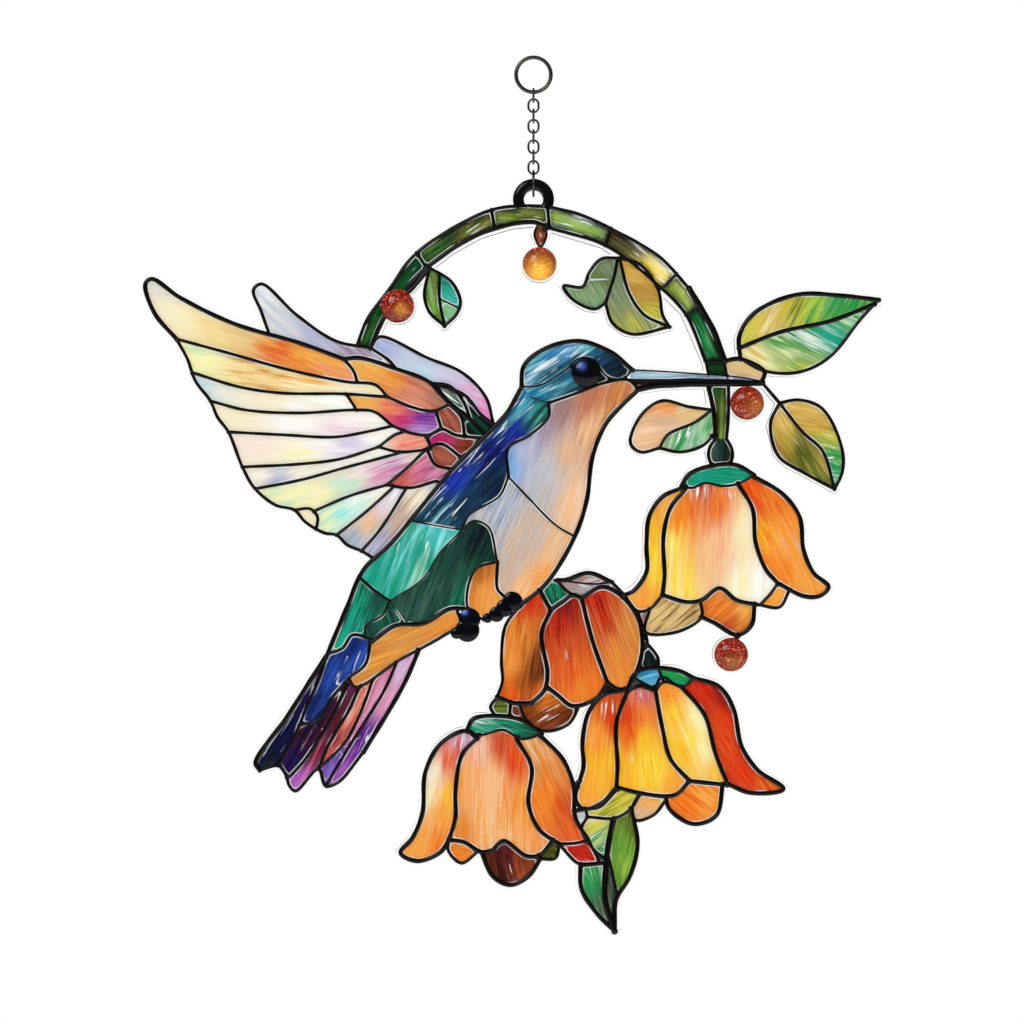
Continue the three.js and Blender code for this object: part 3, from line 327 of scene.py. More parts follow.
# The ink set, mixed.
INKS = {
    "ivory": "#EFE9DC", "paper": "#E6E2DA", "cream": "#F8EFD8", "butter": "#FBEFC0", "wheat": "#F6E0A0",
    "straw": "#F2D488", "beige": "#E6C98A", "honey": "#F4B550", "apricot": "#F0A048", "amber": "#E8923A",
    "ginger": "#E88A30", "clay": "#D9934A", "flame": "#E4602A", "coral": "#EE7A68", "salmon": "#F2A088",
    "tan": "#C0755C", "taupe": "#A88478", "umber": "#8A5A2A", "pearl": "#FDFEFC", "lemon": "#FBF5BE",
    "ice": "#BFE0EE", "mint": "#BFEBDA", "lilac": "#D9D0EA", "lavender": "#B79BE0", "periwinkle": "#AFB8E0",
    "bluebell": "#BEC0DC", "stone": "#D0D4E2", "mauve": "#A88BA0", "magenta": "#C8257C",
    "violet": "#5B1F8E", "plum": "#4A1560", "orchid": "#D98BA8", "iris": "#6A4AB0", "petal": "#E4A8CC",
    "amethyst": "#7A2AA0", "heather": "#B060C0", "rose": "#C9566E", "melon": "#CC5E5A", "pink": "#EE8FD4",
    "brick": "#98483C", "brown_red": "#8C3A0C", "maroon": "#5C1B26", "steel": "#8FA6C8", "denim": "#8AB4EA",
    "fog": "#C4C6CC", "haze": "#A8B8C8", "shell": "#FAE9E0", "fern": "#4A7460", "sand": "#D4BCA6",
    "peach": "#F7C896", "navy": "#0C0A46", "aubergine": "#150838", "sapphire": "#1E3F8F",
    "royal": "#1A28A8", "cobalt": "#2F5FC8", "sky": "#5FA8DC", "cyan": "#8FEBF2",
    "ocean": "#1F7FA8", "petrol": "#123E56", "night": "#081820", "teal": "#1AA48C", "aqua": "#4FC4BE",
    "jade": "#139E7A", "jadeite": "#1AB08A", "pine": "#0F5238", "bottle": "#1F4A42", "moss": "#1F3F36",
    "forest": "#0B5020", "leaf": "#1E9E50", "grass": "#5A9A38", "spring": "#86C08A", "sage": "#93A07C",
    "lichen": "#7A8C72", "olive": "#6C7A2C", "dark_olive": "#4E5C14", "lime": "#B0D050",
    "pale_green": "#D2EECC", "chartreuse": "#D4CC48", "yellow": "#FCE04C", "sun": "#FBC428",
    "orange": "#F58A26", "tangerine": "#F8A848", "ember": "#E23C0A", "red": "#D42E14", "blood": "#96140A",
    "scarlet": "#B5200E", "rust": "#C8582A", "sienna": "#B5611E", "mahogany": "#7A3410", "cocoa": "#6A3818",
    "shade": "#3A1208", "blush": "#F4C8B0", "rosewater": "#F7DCCC", "bronze": "#B4883C", "gold": "#D9B35A",
    "ink_black": "#08100E", "gunsteel": "#2E3A44", "smoke": "#5A5A5A",
}

# The panes: which way the brush ran, in degrees below the horizontal, and the touches of colour, each with
# the ink of the wash, the ink of the streaks over it and its place. The first touch lies inside the pane.
PANES = {
    "primary_1": (20, ("butter", "cream", 182, 318), ("paper", "ivory", 155, 290),
        ("cream", "butter", 165, 312), ("wheat", "butter", 215, 330), ("beige", "wheat", 240, 336),
        ("flame", "honey", 277, 349), ("honey", "flame", 305, 357), ("honey", "salmon", 330, 364),
        ("salmon", "honey", 350, 378)),
    "primary_2": (8, ("lemon", "pale_green", 200, 358), ("wheat", "clay", 256, 372),
        ("butter", "honey", 308, 384), ("cream", "butter", 362, 389)),
    "secondary_3": (6, ("cream", "ice", 216, 389), ("ice", "cream", 206, 387),
        ("cream", "butter", 262, 402), ("pearl", "cream", 310, 402), ("pearl", "cream", 350, 400)),
    "secondary_4": (2, ("pearl", "cream", 300, 424), ("cream", "butter", 235, 416),
        ("pearl", "shell", 346, 424), ("petal", "pearl", 344, 431), ("pearl", "cream", 378, 422)),
    "secondary_5": (-4, ("shell", "cream", 262, 449), ("lemon", "pearl", 302, 453),
        ("pearl", "shell", 320, 442), ("lilac", "pearl", 347, 446), ("pearl", "cream", 382, 434)),
    "secondary_6": (-14, ("cream", "pearl", 256, 476), ("periwinkle", "cream", 277, 479),
        ("cream", "pearl", 305, 472), ("pearl", "cream", 385, 451)),
    "secondary_7": (-20, ("lemon", "pale_green", 290, 500), ("lemon", "cream", 318, 492),
        ("mint", "lemon", 348, 482), ("shell", "lilac", 362, 472), ("petal", "orchid", 382, 474),
        ("lilac", "magenta", 400, 463), ("cream", "orchid", 420, 453)),
    "secondary_8": (-32, ("lemon", "mint", 328, 521), ("mint", "cyan", 342, 515),
        ("pearl", "mint", 358, 505), ("pearl", "cream", 380, 492)),
    "secondary_9": (-48, ("haze", "ice", 355, 537), ("peach", "sand", 371, 521),
        ("lilac", "cream", 387, 503), ("pearl", "lilac", 397, 492)),
    "secondary_10": (-50, ("bluebell", "mauve", 381, 542), ("sand", "taupe", 402, 514),
        ("cream", "sand", 420, 494), ("fog", "mauve", 440, 484)),
    "notch": (30, ("cream", "lemon", 308, 515)),
    "covert_1": (25, ("honey", "straw", 372, 366), ("amber", "honey", 395, 378),
        ("tan", "salmon", 418, 388), ("salmon", "tan", 412, 399), ("tan", "taupe", 438, 402)),
    "covert_2": (4, ("honey", "straw", 366, 402), ("coral", "honey", 390, 410),
        ("magenta", "coral", 402, 418), ("amethyst", "violet", 424, 417), ("lavender", "pink", 420, 430)),
    "coral": (-10, ("salmon", "coral", 404, 442), ("rosewater", "salmon", 388, 446)),
    "rose": (-35, ("melon", "salmon", 402, 478), ("melon", "tan", 392, 483),
        ("orchid", "magenta", 420, 468), ("orchid", "violet", 436, 468)),
    "brick": (55, ("brick", "tan", 450, 418)),
    "plum": (10, ("magenta", "rose", 438, 441), ("brown_red", "mahogany", 462, 444)),
    "russet": (25, ("brick", "tan", 444, 456)),
    "quill": (35, ("bottle", "pale_green", 450, 394), ("petrol", "jadeite", 462, 407)),
    "shadow": (45, ("ink_black", "pine", 478, 414)),
    "back_wing_tip": (38, ("stone", "ivory", 284, 318), ("stone", "pearl", 264, 292),
        ("bluebell", "stone", 320, 336), ("mauve", "bluebell", 355, 348)),
    "back_wing": (25, ("periwinkle", "lilac", 386, 345), ("stone", "ice", 412, 360),
        ("ice", "lilac", 428, 372), ("lilac", "stone", 452, 374), ("petal", "lilac", 474, 394),
        ("pink", "petal", 488, 410)),
    "arch_1": (-55, ("forest", "grass", 370, 328), ("forest", "leaf", 392, 296),
        ("forest", "pine", 415, 266), ("ink_black", "forest", 362, 326)),
    "arch_2": (-33, ("forest", "grass", 440, 250), ("forest", "pine", 452, 240),
        ("olive", "lime", 468, 234), ("olive", "straw", 486, 223), ("ink_black", "moss", 452, 230),
        ("ink_black", "cocoa", 478, 216), ("cocoa", "tan", 462, 242)),
    "arch_3": (2, ("olive", "lime", 520, 216), ("olive", "dark_olive", 540, 214),
        ("lime", "lemon", 512, 219), ("ink_black", "cocoa", 510, 210), ("ink_black", "fog", 505, 224)),
    "arch_4": (17, ("lime", "pale_green", 572, 222), ("lime", "grass", 592, 229),
        ("lime", "moss", 556, 217), ("gunsteel", "fog", 574, 213), ("gunsteel", "steel", 600, 222),
        ("gunsteel", "steel", 564, 228), ("ink_black", "fog", 594, 240)),
    "arch_5": (38, ("dark_olive", "ink_black", 628, 246), ("cocoa", "fog", 640, 245),
        ("ink_black", "cocoa", 618, 234), ("yellow", "lemon", 652, 264), ("lemon", "pearl", 662, 263),
        ("yellow", "butter", 666, 276)),
    "arch_6": (52, ("olive", "lime", 680, 290), ("lime", "butter", 684, 292),
        ("ink_black", "pine", 692, 290)),
    "arch_7": (65, ("leaf", "pine", 700, 325), ("leaf", "spring", 706, 340),
        ("ink_black", "forest", 714, 342), ("forest", "ink_black", 708, 316),
        ("ink_black", "forest", 694, 322)),
    "arch_8": (80, ("forest", "ink_black", 717, 368)),
    "stalk": (90, ("olive", "lime", 720, 410), ("forest", "olive", 720, 390),
        ("dark_olive", "lime", 722, 436), ("ink_black", "moss", 714, 414), ("ink_black", "moss", 727, 414)),
    "knob": (90, ("bottle", "moss", 718, 453), ("ink_black", "cocoa", 728, 454),
        ("moss", "sage", 714, 448)),
    "bail_fill": (80, ("cocoa", "rust", 541, 234)),
    "small_leaf_1": (80, ("grass", "lime", 431, 304), ("olive", "spring", 432, 290)),
    "small_leaf_2": (25, ("teal", "aqua", 450, 290), ("jade", "pine", 446, 281),
        ("aqua", "teal", 452, 297)),
    "small_leaf_3": (50, ("spring", "pale_green", 449, 312)),
    "twin_1": (60, ("lichen", "sage", 604, 268), ("olive", "lichen", 600, 274),
        ("sage", "lichen", 594, 293), ("spring", "sage", 598, 301), ("sage", "spring", 582, 292)),
    "twin_3": (60, ("lichen", "sage", 624, 314), ("lichen", "sage", 618, 290),
        ("chartreuse", "lichen", 630, 322)),
    "twin_4": (20, ("bronze", "gold", 642, 290), ("gold", "bronze", 634, 275),
        ("chartreuse", "olive", 655, 316)),
    "leaf_a_1": (-60, ("chartreuse", "straw", 752, 330), ("gold", "lemon", 772, 318),
        ("chartreuse", "olive", 794, 308), ("lime", "leaf", 816, 306), ("leaf", "spring", 836, 302),
        ("leaf", "lime", 858, 300)),
    "leaf_a_2": (28, ("lemon", "gold", 758, 356), ("leaf", "lemon", 784, 350), ("leaf", "pearl", 806, 340),
        ("teal", "mint", 830, 336), ("leaf", "pale_green", 852, 318), ("chartreuse", "leaf", 800, 362)),
    "leaf_b_1": (60, ("gold", "straw", 782, 420), ("bronze", "chartreuse", 784, 440),
        ("dark_olive", "olive", 800, 452), ("olive", "gold", 818, 472)),
    "leaf_b_2": (12, ("gold", "straw", 800, 408), ("gold", "bronze", 818, 424),
        ("chartreuse", "grass", 830, 440), ("leaf", "pale_green", 834, 452), ("leaf", "mint", 836, 470)),
    "heel": (20, ("beige", "sand", 744, 370)),
    "mid_leaf_1": (-12, ("peach", "cream", 650, 430), ("amber", "peach", 668, 406),
        ("beige", "cream", 692, 412), ("sand", "peach", 662, 424)),
    "mid_leaf_2": (-70, ("leaf", "pearl", 690, 438), ("grass", "pearl", 668, 446),
        ("leaf", "pale_green", 680, 442), ("pale_green", "leaf", 706, 424)),
    "beak_upper": (4, ("ice", "steel", 655, 374), ("steel", "ice", 700, 376),
        ("steel", "periwinkle", 745, 379)),
    "beak_lower": (2, ("shade", "ink_black", 660, 382)),
    "crown": (-32, ("petrol", "cyan", 550, 372), ("ocean", "ice", 532, 376), ("ocean", "cyan", 546, 358),
        ("sky", "ice", 566, 351), ("ocean", "cyan", 586, 348), ("petrol", "ocean", 572, 362),
        ("petrol", "cobalt", 603, 354), ("night", "petrol", 612, 364), ("night", "petrol", 622, 370)),
    "cheek": (-30, ("petrol", "cyan", 560, 388), ("ocean", "cyan", 543, 391), ("petrol", "ocean", 568, 380),
        ("ink_black", "night", 592, 388), ("ink_black", "night", 610, 379)),
    "nape": (-48, ("ocean", "cyan", 526, 402), ("bottle", "jadeite", 544, 404),
        ("bottle", "aqua", 540, 416), ("royal", "navy", 516, 432), ("navy", "royal", 492, 452),
        ("royal", "cobalt", 456, 482), ("night", "petrol", 488, 478), ("petrol", "cyan", 440, 508),
        ("petrol", "night", 462, 505)),
    "throat": (108, ("peach", "tan", 590, 428), ("tan", "clay", 588, 398), ("clay", "tan", 614, 400),
        ("denim", "sky", 512, 466), ("bluebell", "fog", 527, 452), ("mauve", "bluebell", 545, 420),
        ("taupe", "mauve", 563, 408), ("fog", "stone", 546, 470), ("sand", "peach", 566, 450),
        ("peach", "rosewater", 574, 500), ("fog", "sand", 540, 492)),
    "breast": (115, ("fog", "steel", 505, 508), ("sand", "fog", 530, 540), ("peach", "sand", 555, 548),
        ("tangerine", "peach", 545, 576), ("sand", "fog", 510, 570), ("peach", "tangerine", 522, 590)),
    "mantle": (112, ("teal", "cyan", 410, 556), ("aqua", "cyan", 436, 536), ("jade", "cyan", 408, 532),
        ("jade", "aqua", 390, 590), ("teal", "aqua", 370, 574), ("teal", "pale_green", 424, 560)),
    "flank": (112, ("bottle", "fern", 446, 585), ("night", "bottle", 478, 540), ("pine", "jade", 462, 598),
        ("bottle", "fern", 425, 596), ("bottle", "pine", 450, 560)),
    "flank_low": (70, ("bottle", "jade", 378, 626)),
    "rump": (112, ("jade", "pine", 362, 604), ("jadeite", "jade", 336, 642), ("teal", "bottle", 352, 620),
        ("bottle", "pine", 374, 600)),
    "thigh": (100, ("apricot", "honey", 484, 592), ("sienna", "clay", 482, 572),
        ("apricot", "peach", 494, 604)),
    "shin": (-22, ("clay", "honey", 402, 640), ("apricot", "clay", 446, 618), ("clay", "honey", 370, 665)),
    "tail_1": (-55, ("navy", "aubergine", 285, 735), ("navy", "plum", 315, 685),
        ("night", "navy", 268, 758)),
    "tail_2": (-60, ("sapphire", "cobalt", 335, 672), ("sapphire", "navy", 318, 700),
        ("cobalt", "royal", 358, 658), ("navy", "sapphire", 350, 648)),
    "tail_3": (-60, ("aubergine", "maroon", 308, 733), ("navy", "plum", 290, 762)),
    "tail_4": (-62, ("maroon", "plum", 330, 722), ("maroon", "rose", 312, 752),
        ("heather", "pink", 297, 782)),
    "tail_5": (-62, ("salmon", "melon", 352, 715), ("melon", "maroon", 340, 738),
        ("melon", "rose", 325, 762)),
    "tail_6": (-62, ("rose", "petal", 366, 702), ("orchid", "petal", 352, 725),
        ("iris", "lavender", 335, 762)),
    "tail_7": (-62, ("petal", "orchid", 388, 697), ("petal", "lilac", 404, 670),
        ("violet", "amethyst", 362, 736), ("amethyst", "petal", 350, 752),
        ("heather", "amethyst", 335, 775)),
    "bell_a_cap": (5, ("jade", "teal", 726, 474), ("teal", "jade", 700, 476)),
    "bell_a_1": (95, ("sun", "honey", 655, 530), ("honey", "tangerine", 662, 503),
        ("yellow", "sun", 653, 562), ("tangerine", "honey", 642, 598)),
    "bell_a_2": (93, ("peach", "salmon", 714, 548), ("scarlet", "blush", 706, 486),
        ("orange", "flame", 690, 506), ("orange", "flame", 716, 502), ("orange", "yellow", 680, 522),
        ("yellow", "lemon", 673, 545), ("butter", "cream", 746, 530), ("pearl", "cream", 764, 585),
        ("yellow", "butter", 682, 588), ("peach", "blush", 716, 570), ("lemon", "pearl", 736, 590)),
    "bell_a_3": (66, ("tangerine", "orange", 782, 529), ("ember", "orange", 750, 490),
        ("flame", "ember", 756, 510), ("orange", "flame", 778, 500), ("sun", "orange", 766, 528),
        ("tangerine", "peach", 790, 545), ("orange", "tangerine", 780, 566),
        ("tangerine", "honey", 808, 584)),
    "bell_a_under": (-40, ("beige", "umber", 668, 616)),
    "bell_a_lip": (-40, ("orange", "rust", 722, 612), ("rust", "orange", 728, 622),
        ("honey", "straw", 746, 606)),
    "bell_a_tab": (-20, ("tangerine", "honey", 778, 598)),
    "bell_b_1": (100, ("amber", "orange", 514, 640), ("red", "ember", 530, 606),
        ("amber", "sienna", 524, 634), ("tangerine", "amber", 509, 662), ("mahogany", "shade", 541, 662),
        ("cocoa", "shade", 536, 676), ("sienna", "mahogany", 527, 684), ("ember", "orange", 514, 697),
        ("flame", "orange", 540, 695)),
    "bell_b_2": (86, ("flame", "orange", 574, 671), ("blood", "maroon", 566, 606),
        ("red", "blood", 562, 622), ("rust", "flame", 572, 645), ("orange", "amber", 582, 688)),
    "bell_b_3": (70, ("amber", "tan", 618, 650), ("red", "blood", 598, 600), ("rust", "red", 606, 620),
        ("clay", "amber", 632, 632), ("amber", "tangerine", 622, 674)),
    "bell_b_leaf": (70, ("jade", "pine", 552, 590), ("pine", "forest", 552, 602)),
    "bell_b_rim": (-10, ("taupe", "fog", 590, 577)),
    "bell_b_rim_low": (15, ("taupe", "fog", 576, 588), ("mauve", "fog", 592, 586)),
    "bell_b_lip": (-30, ("mahogany", "rust", 548, 714), ("orange", "sienna", 550, 697),
        ("mahogany", "cocoa", 566, 716), ("mahogany", "sienna", 528, 712)),
    "bell_b_disc": (0, ("olive", "dark_olive", 500, 706)),
    "bell_b_nook": (0, ("cocoa", "brick", 515, 709)),
    "bud": (90, ("ink_black", "moss", 650, 662), ("night", "ink_black", 650, 650)),
    "bell_c_cap": (12, ("jade", "pine", 506, 722), ("jade", "mint", 482, 724), ("pine", "jade", 530, 731)),
    "bell_c_1": (100, ("tangerine", "honey", 440, 812), ("lilac", "red", 466, 735),
        ("red", "lilac", 457, 745), ("ember", "orange", 449, 757), ("cream", "shell", 434, 772),
        ("butter", "peach", 430, 796), ("sun", "tangerine", 449, 795), ("tangerine", "honey", 420, 845),
        ("orange", "flame", 441, 842)),
    "bell_c_2": (92, ("peach", "tangerine", 488, 795), ("rust", "ember", 501, 742),
        ("ember", "orange", 514, 757), ("blush", "salmon", 479, 748), ("tangerine", "peach", 468, 778),
        ("peach", "tangerine", 494, 776), ("tangerine", "amber", 522, 802),
        ("peach", "tangerine", 500, 842), ("amber", "orange", 464, 828), ("peach", "honey", 486, 815)),
    "bell_c_3": (66, ("orange", "tangerine", 550, 796), ("peach", "clay", 534, 748),
        ("clay", "orange", 542, 768), ("orange", "tangerine", 540, 796), ("rust", "ember", 562, 806),
        ("flame", "orange", 574, 834)),
    "bell_c_tab": (10, ("ginger", "orange", 464, 851)),
    "bell_c_lip": (75, ("mahogany", "flame", 520, 868), ("shade", "mahogany", 490, 860),
        ("shade", "mahogany", 500, 874), ("mahogany", "sienna", 530, 856), ("maroon", "shade", 508, 856)),
    "bell_c_olive": (20, ("dark_olive", "cocoa", 552, 850)),
    "bell_c_red": (25, ("scarlet", "red", 580, 852)),
    "bell_d_cap_1": (-15, ("ocean", "cyan", 645, 675), ("sky", "cyan", 654, 677)),
    "bell_d_cap_2": (15, ("leaf", "teal", 678, 677)),
    "bell_d_nook": (0, ("smoke", "moss", 640, 684)),
    "bell_d_1": (96, ("sun", "tangerine", 600, 765), ("rust", "red", 614, 700), ("ember", "red", 612, 718),
        ("tangerine", "orange", 598, 735), ("sun", "honey", 603, 770), ("tangerine", "sun", 587, 798)),
    "bell_d_2": (84, ("yellow", "sun", 644, 763), ("rose", "blush", 643, 692), ("ember", "red", 628, 714),
        ("orange", "flame", 645, 714), ("ember", "orange", 630, 730), ("sun", "yellow", 644, 742),
        ("sun", "tangerine", 624, 770), ("yellow", "sun", 655, 765), ("tangerine", "sun", 676, 788)),
    "bell_d_3": (70, ("yellow", "lemon", 694, 740), ("orange", "tangerine", 668, 693),
        ("sun", "yellow", 674, 712), ("lemon", "butter", 700, 718), ("sun", "yellow", 684, 752),
        ("lemon", "sun", 704, 748), ("honey", "yellow", 716, 776)),
    "bell_d_4": (56, ("ember", "flame", 727, 722), ("red", "ember", 704, 688),
        ("blood", "maroon", 724, 695), ("flame", "ember", 728, 742), ("ember", "red", 744, 762),
        ("ember", "orange", 768, 786)),
    "bell_d_lip": (40, ("orange", "flame", 686, 800), ("tangerine", "orange", 708, 800)),
    "bell_d_peach": (-30, ("honey", "peach", 650, 803), ("sand", "peach", 640, 812)),
    "vine_leaf": (-30, ("chartreuse", "olive", 618, 803)),
    "sprout": (-32, ("yellow", "lemon", 600, 818), ("chartreuse", "grass", 596, 828),
        ("lemon", "leaf", 600, 835), ("leaf", "spring", 607, 836), ("leaf", "forest", 605, 848)),
    "clear_drop": (0, ("fog", "pearl", 582, 813)),
    "joint_b_d": (0, ("ink_black", "shade", 607, 690)),
    "joint_sprout": (0, ("ink_black", "fog", 601, 859)),
    "joint_a_b": (80, ("taupe", "ink_black", 645, 617)),
    "pod": (100, ("grass", "lime", 624, 850), ("olive", "dark_olive", 632, 822),
        ("lime", "grass", 628, 866), ("grass", "olive", 620, 880)),
    "spear": (75, ("leaf", "pale_green", 590, 870), ("leaf", "bottle", 594, 886),
        ("bottle", "sage", 602, 900)),
    "spear_low": (90, ("moss", "sage", 612, 893)),
}

# Where painted highlights lie on a pane as bright flecks: how strong they are, how far they reach, and the
# middle of each group.
PAINTED_GLINTS = {
    "crown": (1, 22, (545, 366), (580, 349)), "cheek": (0.9, 16, (552, 388)),
    "mantle": (0.7, 34, (420, 545)), "nape": (0.95, 24, (520, 404), (498, 432), (478, 456), (444, 506)),
    "quill": (1, 20, (450, 396)), "back_wing": (0.3, 40, (455, 385)), "shadow": (0.7, 8, (490, 426)),
    "rump": (0.5, 24, (340, 640)), "tail_1": (0.6, 50, (285, 735)), "tail_2": (0.5, 12, (335, 680)),
    "tail_3": (0.6, 40, (300, 745)), "tail_4": (0.6, 30, (302, 770)), "tail_7": (0.7, 40, (370, 730)),
    "bell_a_2": (1, 12, (700, 490), (728, 491)), "bell_b_2": (0.2, 14, (566, 625)),
    "bell_b_lip": (0.9, 18, (548, 710)), "bell_c_cap": (1, 14, (482, 724)), "bell_c_1": (1, 14, (464, 742)),
    "bell_c_2": (0.6, 10, (482, 742)), "bell_d_1": (1, 14, (609, 708)), "bell_d_2": (1, 9, (643, 692)),
    "bell_d_cap_1": (0.9, 9, (654, 675)), "bell_a_lip": (0.5, 14, (730, 612)),
    "arch_2": (0.8, 26, (480, 228)), "arch_3": (0.9, 24, (515, 222)), "arch_4": (1, 30, (580, 222)),
    "arch_5": (0.9, 20, (640, 252), (664, 276)), "arch_6": (0.6, 14, (682, 290)),
    "arch_7": (0.5, 30, (704, 330)), "arch_1": (0.5, 20, (412, 268)), "leaf_a_2": (0.8, 34, (810, 345)),
    "leaf_a_1": (0.6, 34, (840, 303)), "mid_leaf_2": (0.9, 24, (690, 436)),
    "mid_leaf_1": (0.6, 24, (660, 420)), "small_leaf_2": (0.8, 12, (452, 297)),
    "leaf_b_2": (0.8, 22, (835, 450)), "leaf_b_1": (0.6, 24, (800, 440)), "spear": (0.8, 14, (588, 872)),
    "sprout": (0.8, 16, (600, 838)), "bail_fill": (1, 8, (541, 234)), "bell_b_rim": (0.9, 14, (590, 577)),
    "bell_b_rim_low": (0.9, 14, (584, 587)), "bell_d_nook": (0.7, 6, (640, 684)),
    "bell_a_cap": (0.5, 14, (700, 476)), "secondary_8": (0.5, 16, (345, 512)),
    "bell_b_leaf": (0.6, 8, (552, 596)), "bell_c_lip": (0.6, 14, (512, 872)),
}

# Painted shade along the lines: how far a pane's colour is darkened next to them, and the panes darkened
# more.
EDGE_SHADE = 0.12
DEEPEST_EDGE_SHADE = {
    "arch_1": 0.8, "arch_2": 0.85, "arch_3": 0.85, "arch_4": 0.85, "arch_5": 0.75, "arch_6": 0.75,
    "arch_7": 0.85, "arch_8": 0.9, "stalk": 0.85, "knob": 0.6, "crown": 0.3, "cheek": 0.4, "nape": 0.35,
    "flank": 0.3, "quill": 0.5, "beak_upper": 0.4, "bell_d_4": 0.3, "bell_b_lip": 0.3, "bell_a_lip": 0.3,
    "russet": 0.3, "brick": 0.3, "plum": 0.4, "twin_1": 0.3, "leaf_b_1": 0.25, "small_leaf_1": 0.3,
    "tail_2": 0.3,
}

# Panes that are too dark and narrow to show the painted rim highlight.
RIMLESS = ("beak_lower", "joint_b_d", "joint_sprout", "spear_low", "clear_drop", "bell_c_olive")

# Scratched lines that show pale through the ink, and how strongly they catch the light.
VEIN_CATCH = 0.65
VEINS = (
    ((588, 279), (611, 278)),
    ((361, 650), (356, 662), (353, 674)),
    ((348, 656), (342, 670), (337, 682)),
    ((494, 850), (505, 880)),
    ((338, 712), (318, 742), (300, 768)),
    ((354, 706), (336, 736), (318, 764)),
    ((366, 698), (352, 728), (340, 750)),
    ((385, 684), (370, 716), (360, 736)),
    ((408, 670), (392, 702), (378, 730)),
)


def hex_colour(text):
    """An sRGB hex value as a linear colour."""
    channels = [int(text[i:i + 2], 16) / 255 for i in (1, 3, 5)]
    linear = [c / 12.92 if c <= 0.04045 else ((c + 0.055) / 1.055) ** 2.4 for c in channels]
    return (*linear, 1)


def place(x, y):
    """A point of the cartoon in the sheet's plane, as across and up."""
    return Vector(((x - CHAIN_X) * UNIT, VINE_TOP_Z - (y - VINE_TOP_Y) * UNIT))


CURVE_STEP = 0.45 * MM


def smooth_path(points):
    """A centripetal curve through the points, or a straight run, sampled in short steps."""
    corners = [place(x, y) for x, y in points]
    if len(corners) == 2:
        count = max(2, round((corners[1] - corners[0]).length / CURVE_STEP))
        return [corners[0].lerp(corners[1], i / count) for i in range(count + 1)]
    if (corners[0] - corners[-1]).length < CURVE_STEP:
        run = [corners[-2], *corners, corners[1]]
    else:
        run = [2 * corners[0] - corners[1], *corners, 2 * corners[-1] - corners[-2]]
    path = []
    for p0, p1, p2, p3 in zip(run, run[1:], run[2:], run[3:]):
        t1 = (p1 - p0).length ** 0.5
        t2 = t1 + (p2 - p1).length ** 0.5
        t3 = t2 + (p3 - p2).length ** 0.5
        count = max(1, round((p2 - p1).length / CURVE_STEP))
        for i in range(count):
            t = t1 + (t2 - t1) * i / count
            a1 = p0.lerp(p1, t / t1)
            a2 = p1.lerp(p2, (t - t1) / (t2 - t1))
            a3 = p2.lerp(p3, (t - t2) / (t3 - t2))
            b1 = a1.lerp(a2, t / t2)
            b2 = a2.lerp(a3, (t - t1) / (t3 - t1))
            path.append(b1.lerp(b2, (t - t1) / (t2 - t1)))
    path.append(corners[-1])
    return path


def nearest_on(path, point):
    """The spot on a path that is nearest to a point."""
    best = None
    for a, b in zip(path, path[1:]):
        along = b - a
        share = min(max((point - a).dot(along) / along.length_squared, 0), 1)
        spot = a + along * share
        if best is None or (spot - point).length < (best - point).length:
            best = spot
    return best


# Points nearer than this are one, and a line's end is carried this far past the line that it meets.
TOUCHING = 0.01 * MM
CROSSING = 0.12 * MM


def traced_lines():
    """Every line as a path, its ends carried on across the nearest other line within reach."""
    rows = {name: (row[0], row[1:]) for name, row in STROKES.items()}
    rows.update({f"seam_{name}": (0, points) for name, points in SEAMS.items()})
    drawn = {name: smooth_path(points) for name, (_, points) in rows.items()}
    traced = {}
    for name, (width, _) in rows.items():
        path = list(drawn[name])
        for at, inner in ((0, 1), (-1, -2)):
            tip = drawn[name][at]
            spots = [nearest_on(other, tip) for key, other in drawn.items() if key != name]
            spots = [spot for spot in spots if TOUCHING < (spot - tip).length < JOIN_REACH]
            best = min(spots, key=lambda spot: (spot - tip).length, default=tip)
            onward = (best - tip) if spots else (tip - drawn[name][inner])
            path.insert(0 if at == 0 else len(path), best + onward.normalized() * CROSSING)
        traced[name] = (width * LINE_SHARE * SLIM.get(name, 1), path)
    return traced


def node(tree, kind, settings=(), links=(), out=0):
    """Adds a shader node, gives it its settings, links its inputs and hands back one of its outputs."""
    made = tree.nodes.new("ShaderNode" + kind)
    for key, value in dict(settings).items():
        if isinstance(key, str) and hasattr(made, key):
            setattr(made, key, value)
        else:
            made.inputs[key].default_value = value
    for key, source in dict(links).items():
        tree.links.new(source, made.inputs[key])
    return made.outputs[out] if made.outputs else None


def new_material(name):
    material = bpy.data.materials.new(name)
    material.use_nodes = True
    tree = material.node_tree
    tree.nodes.clear()
    return material, tree


def finish_material(tree, settings, links=()):
    shader = node(tree, "BsdfPrincipled", settings, links)
    node(tree, "OutputMaterial", {}, {"Surface": shader})


# Cast acrylic, laser-cut and flame-polished: water-clear, with a hard bright edge.
def clear_cast_acrylic():
    material, tree = new_material("clear_cast_acrylic")
    finish_material(tree, {"Base Color": hex_colour("#FBFBF8"), "Roughness": 0.02, "IOR": 1.49,
                           "Transmission Weight": 1.0})
    return material
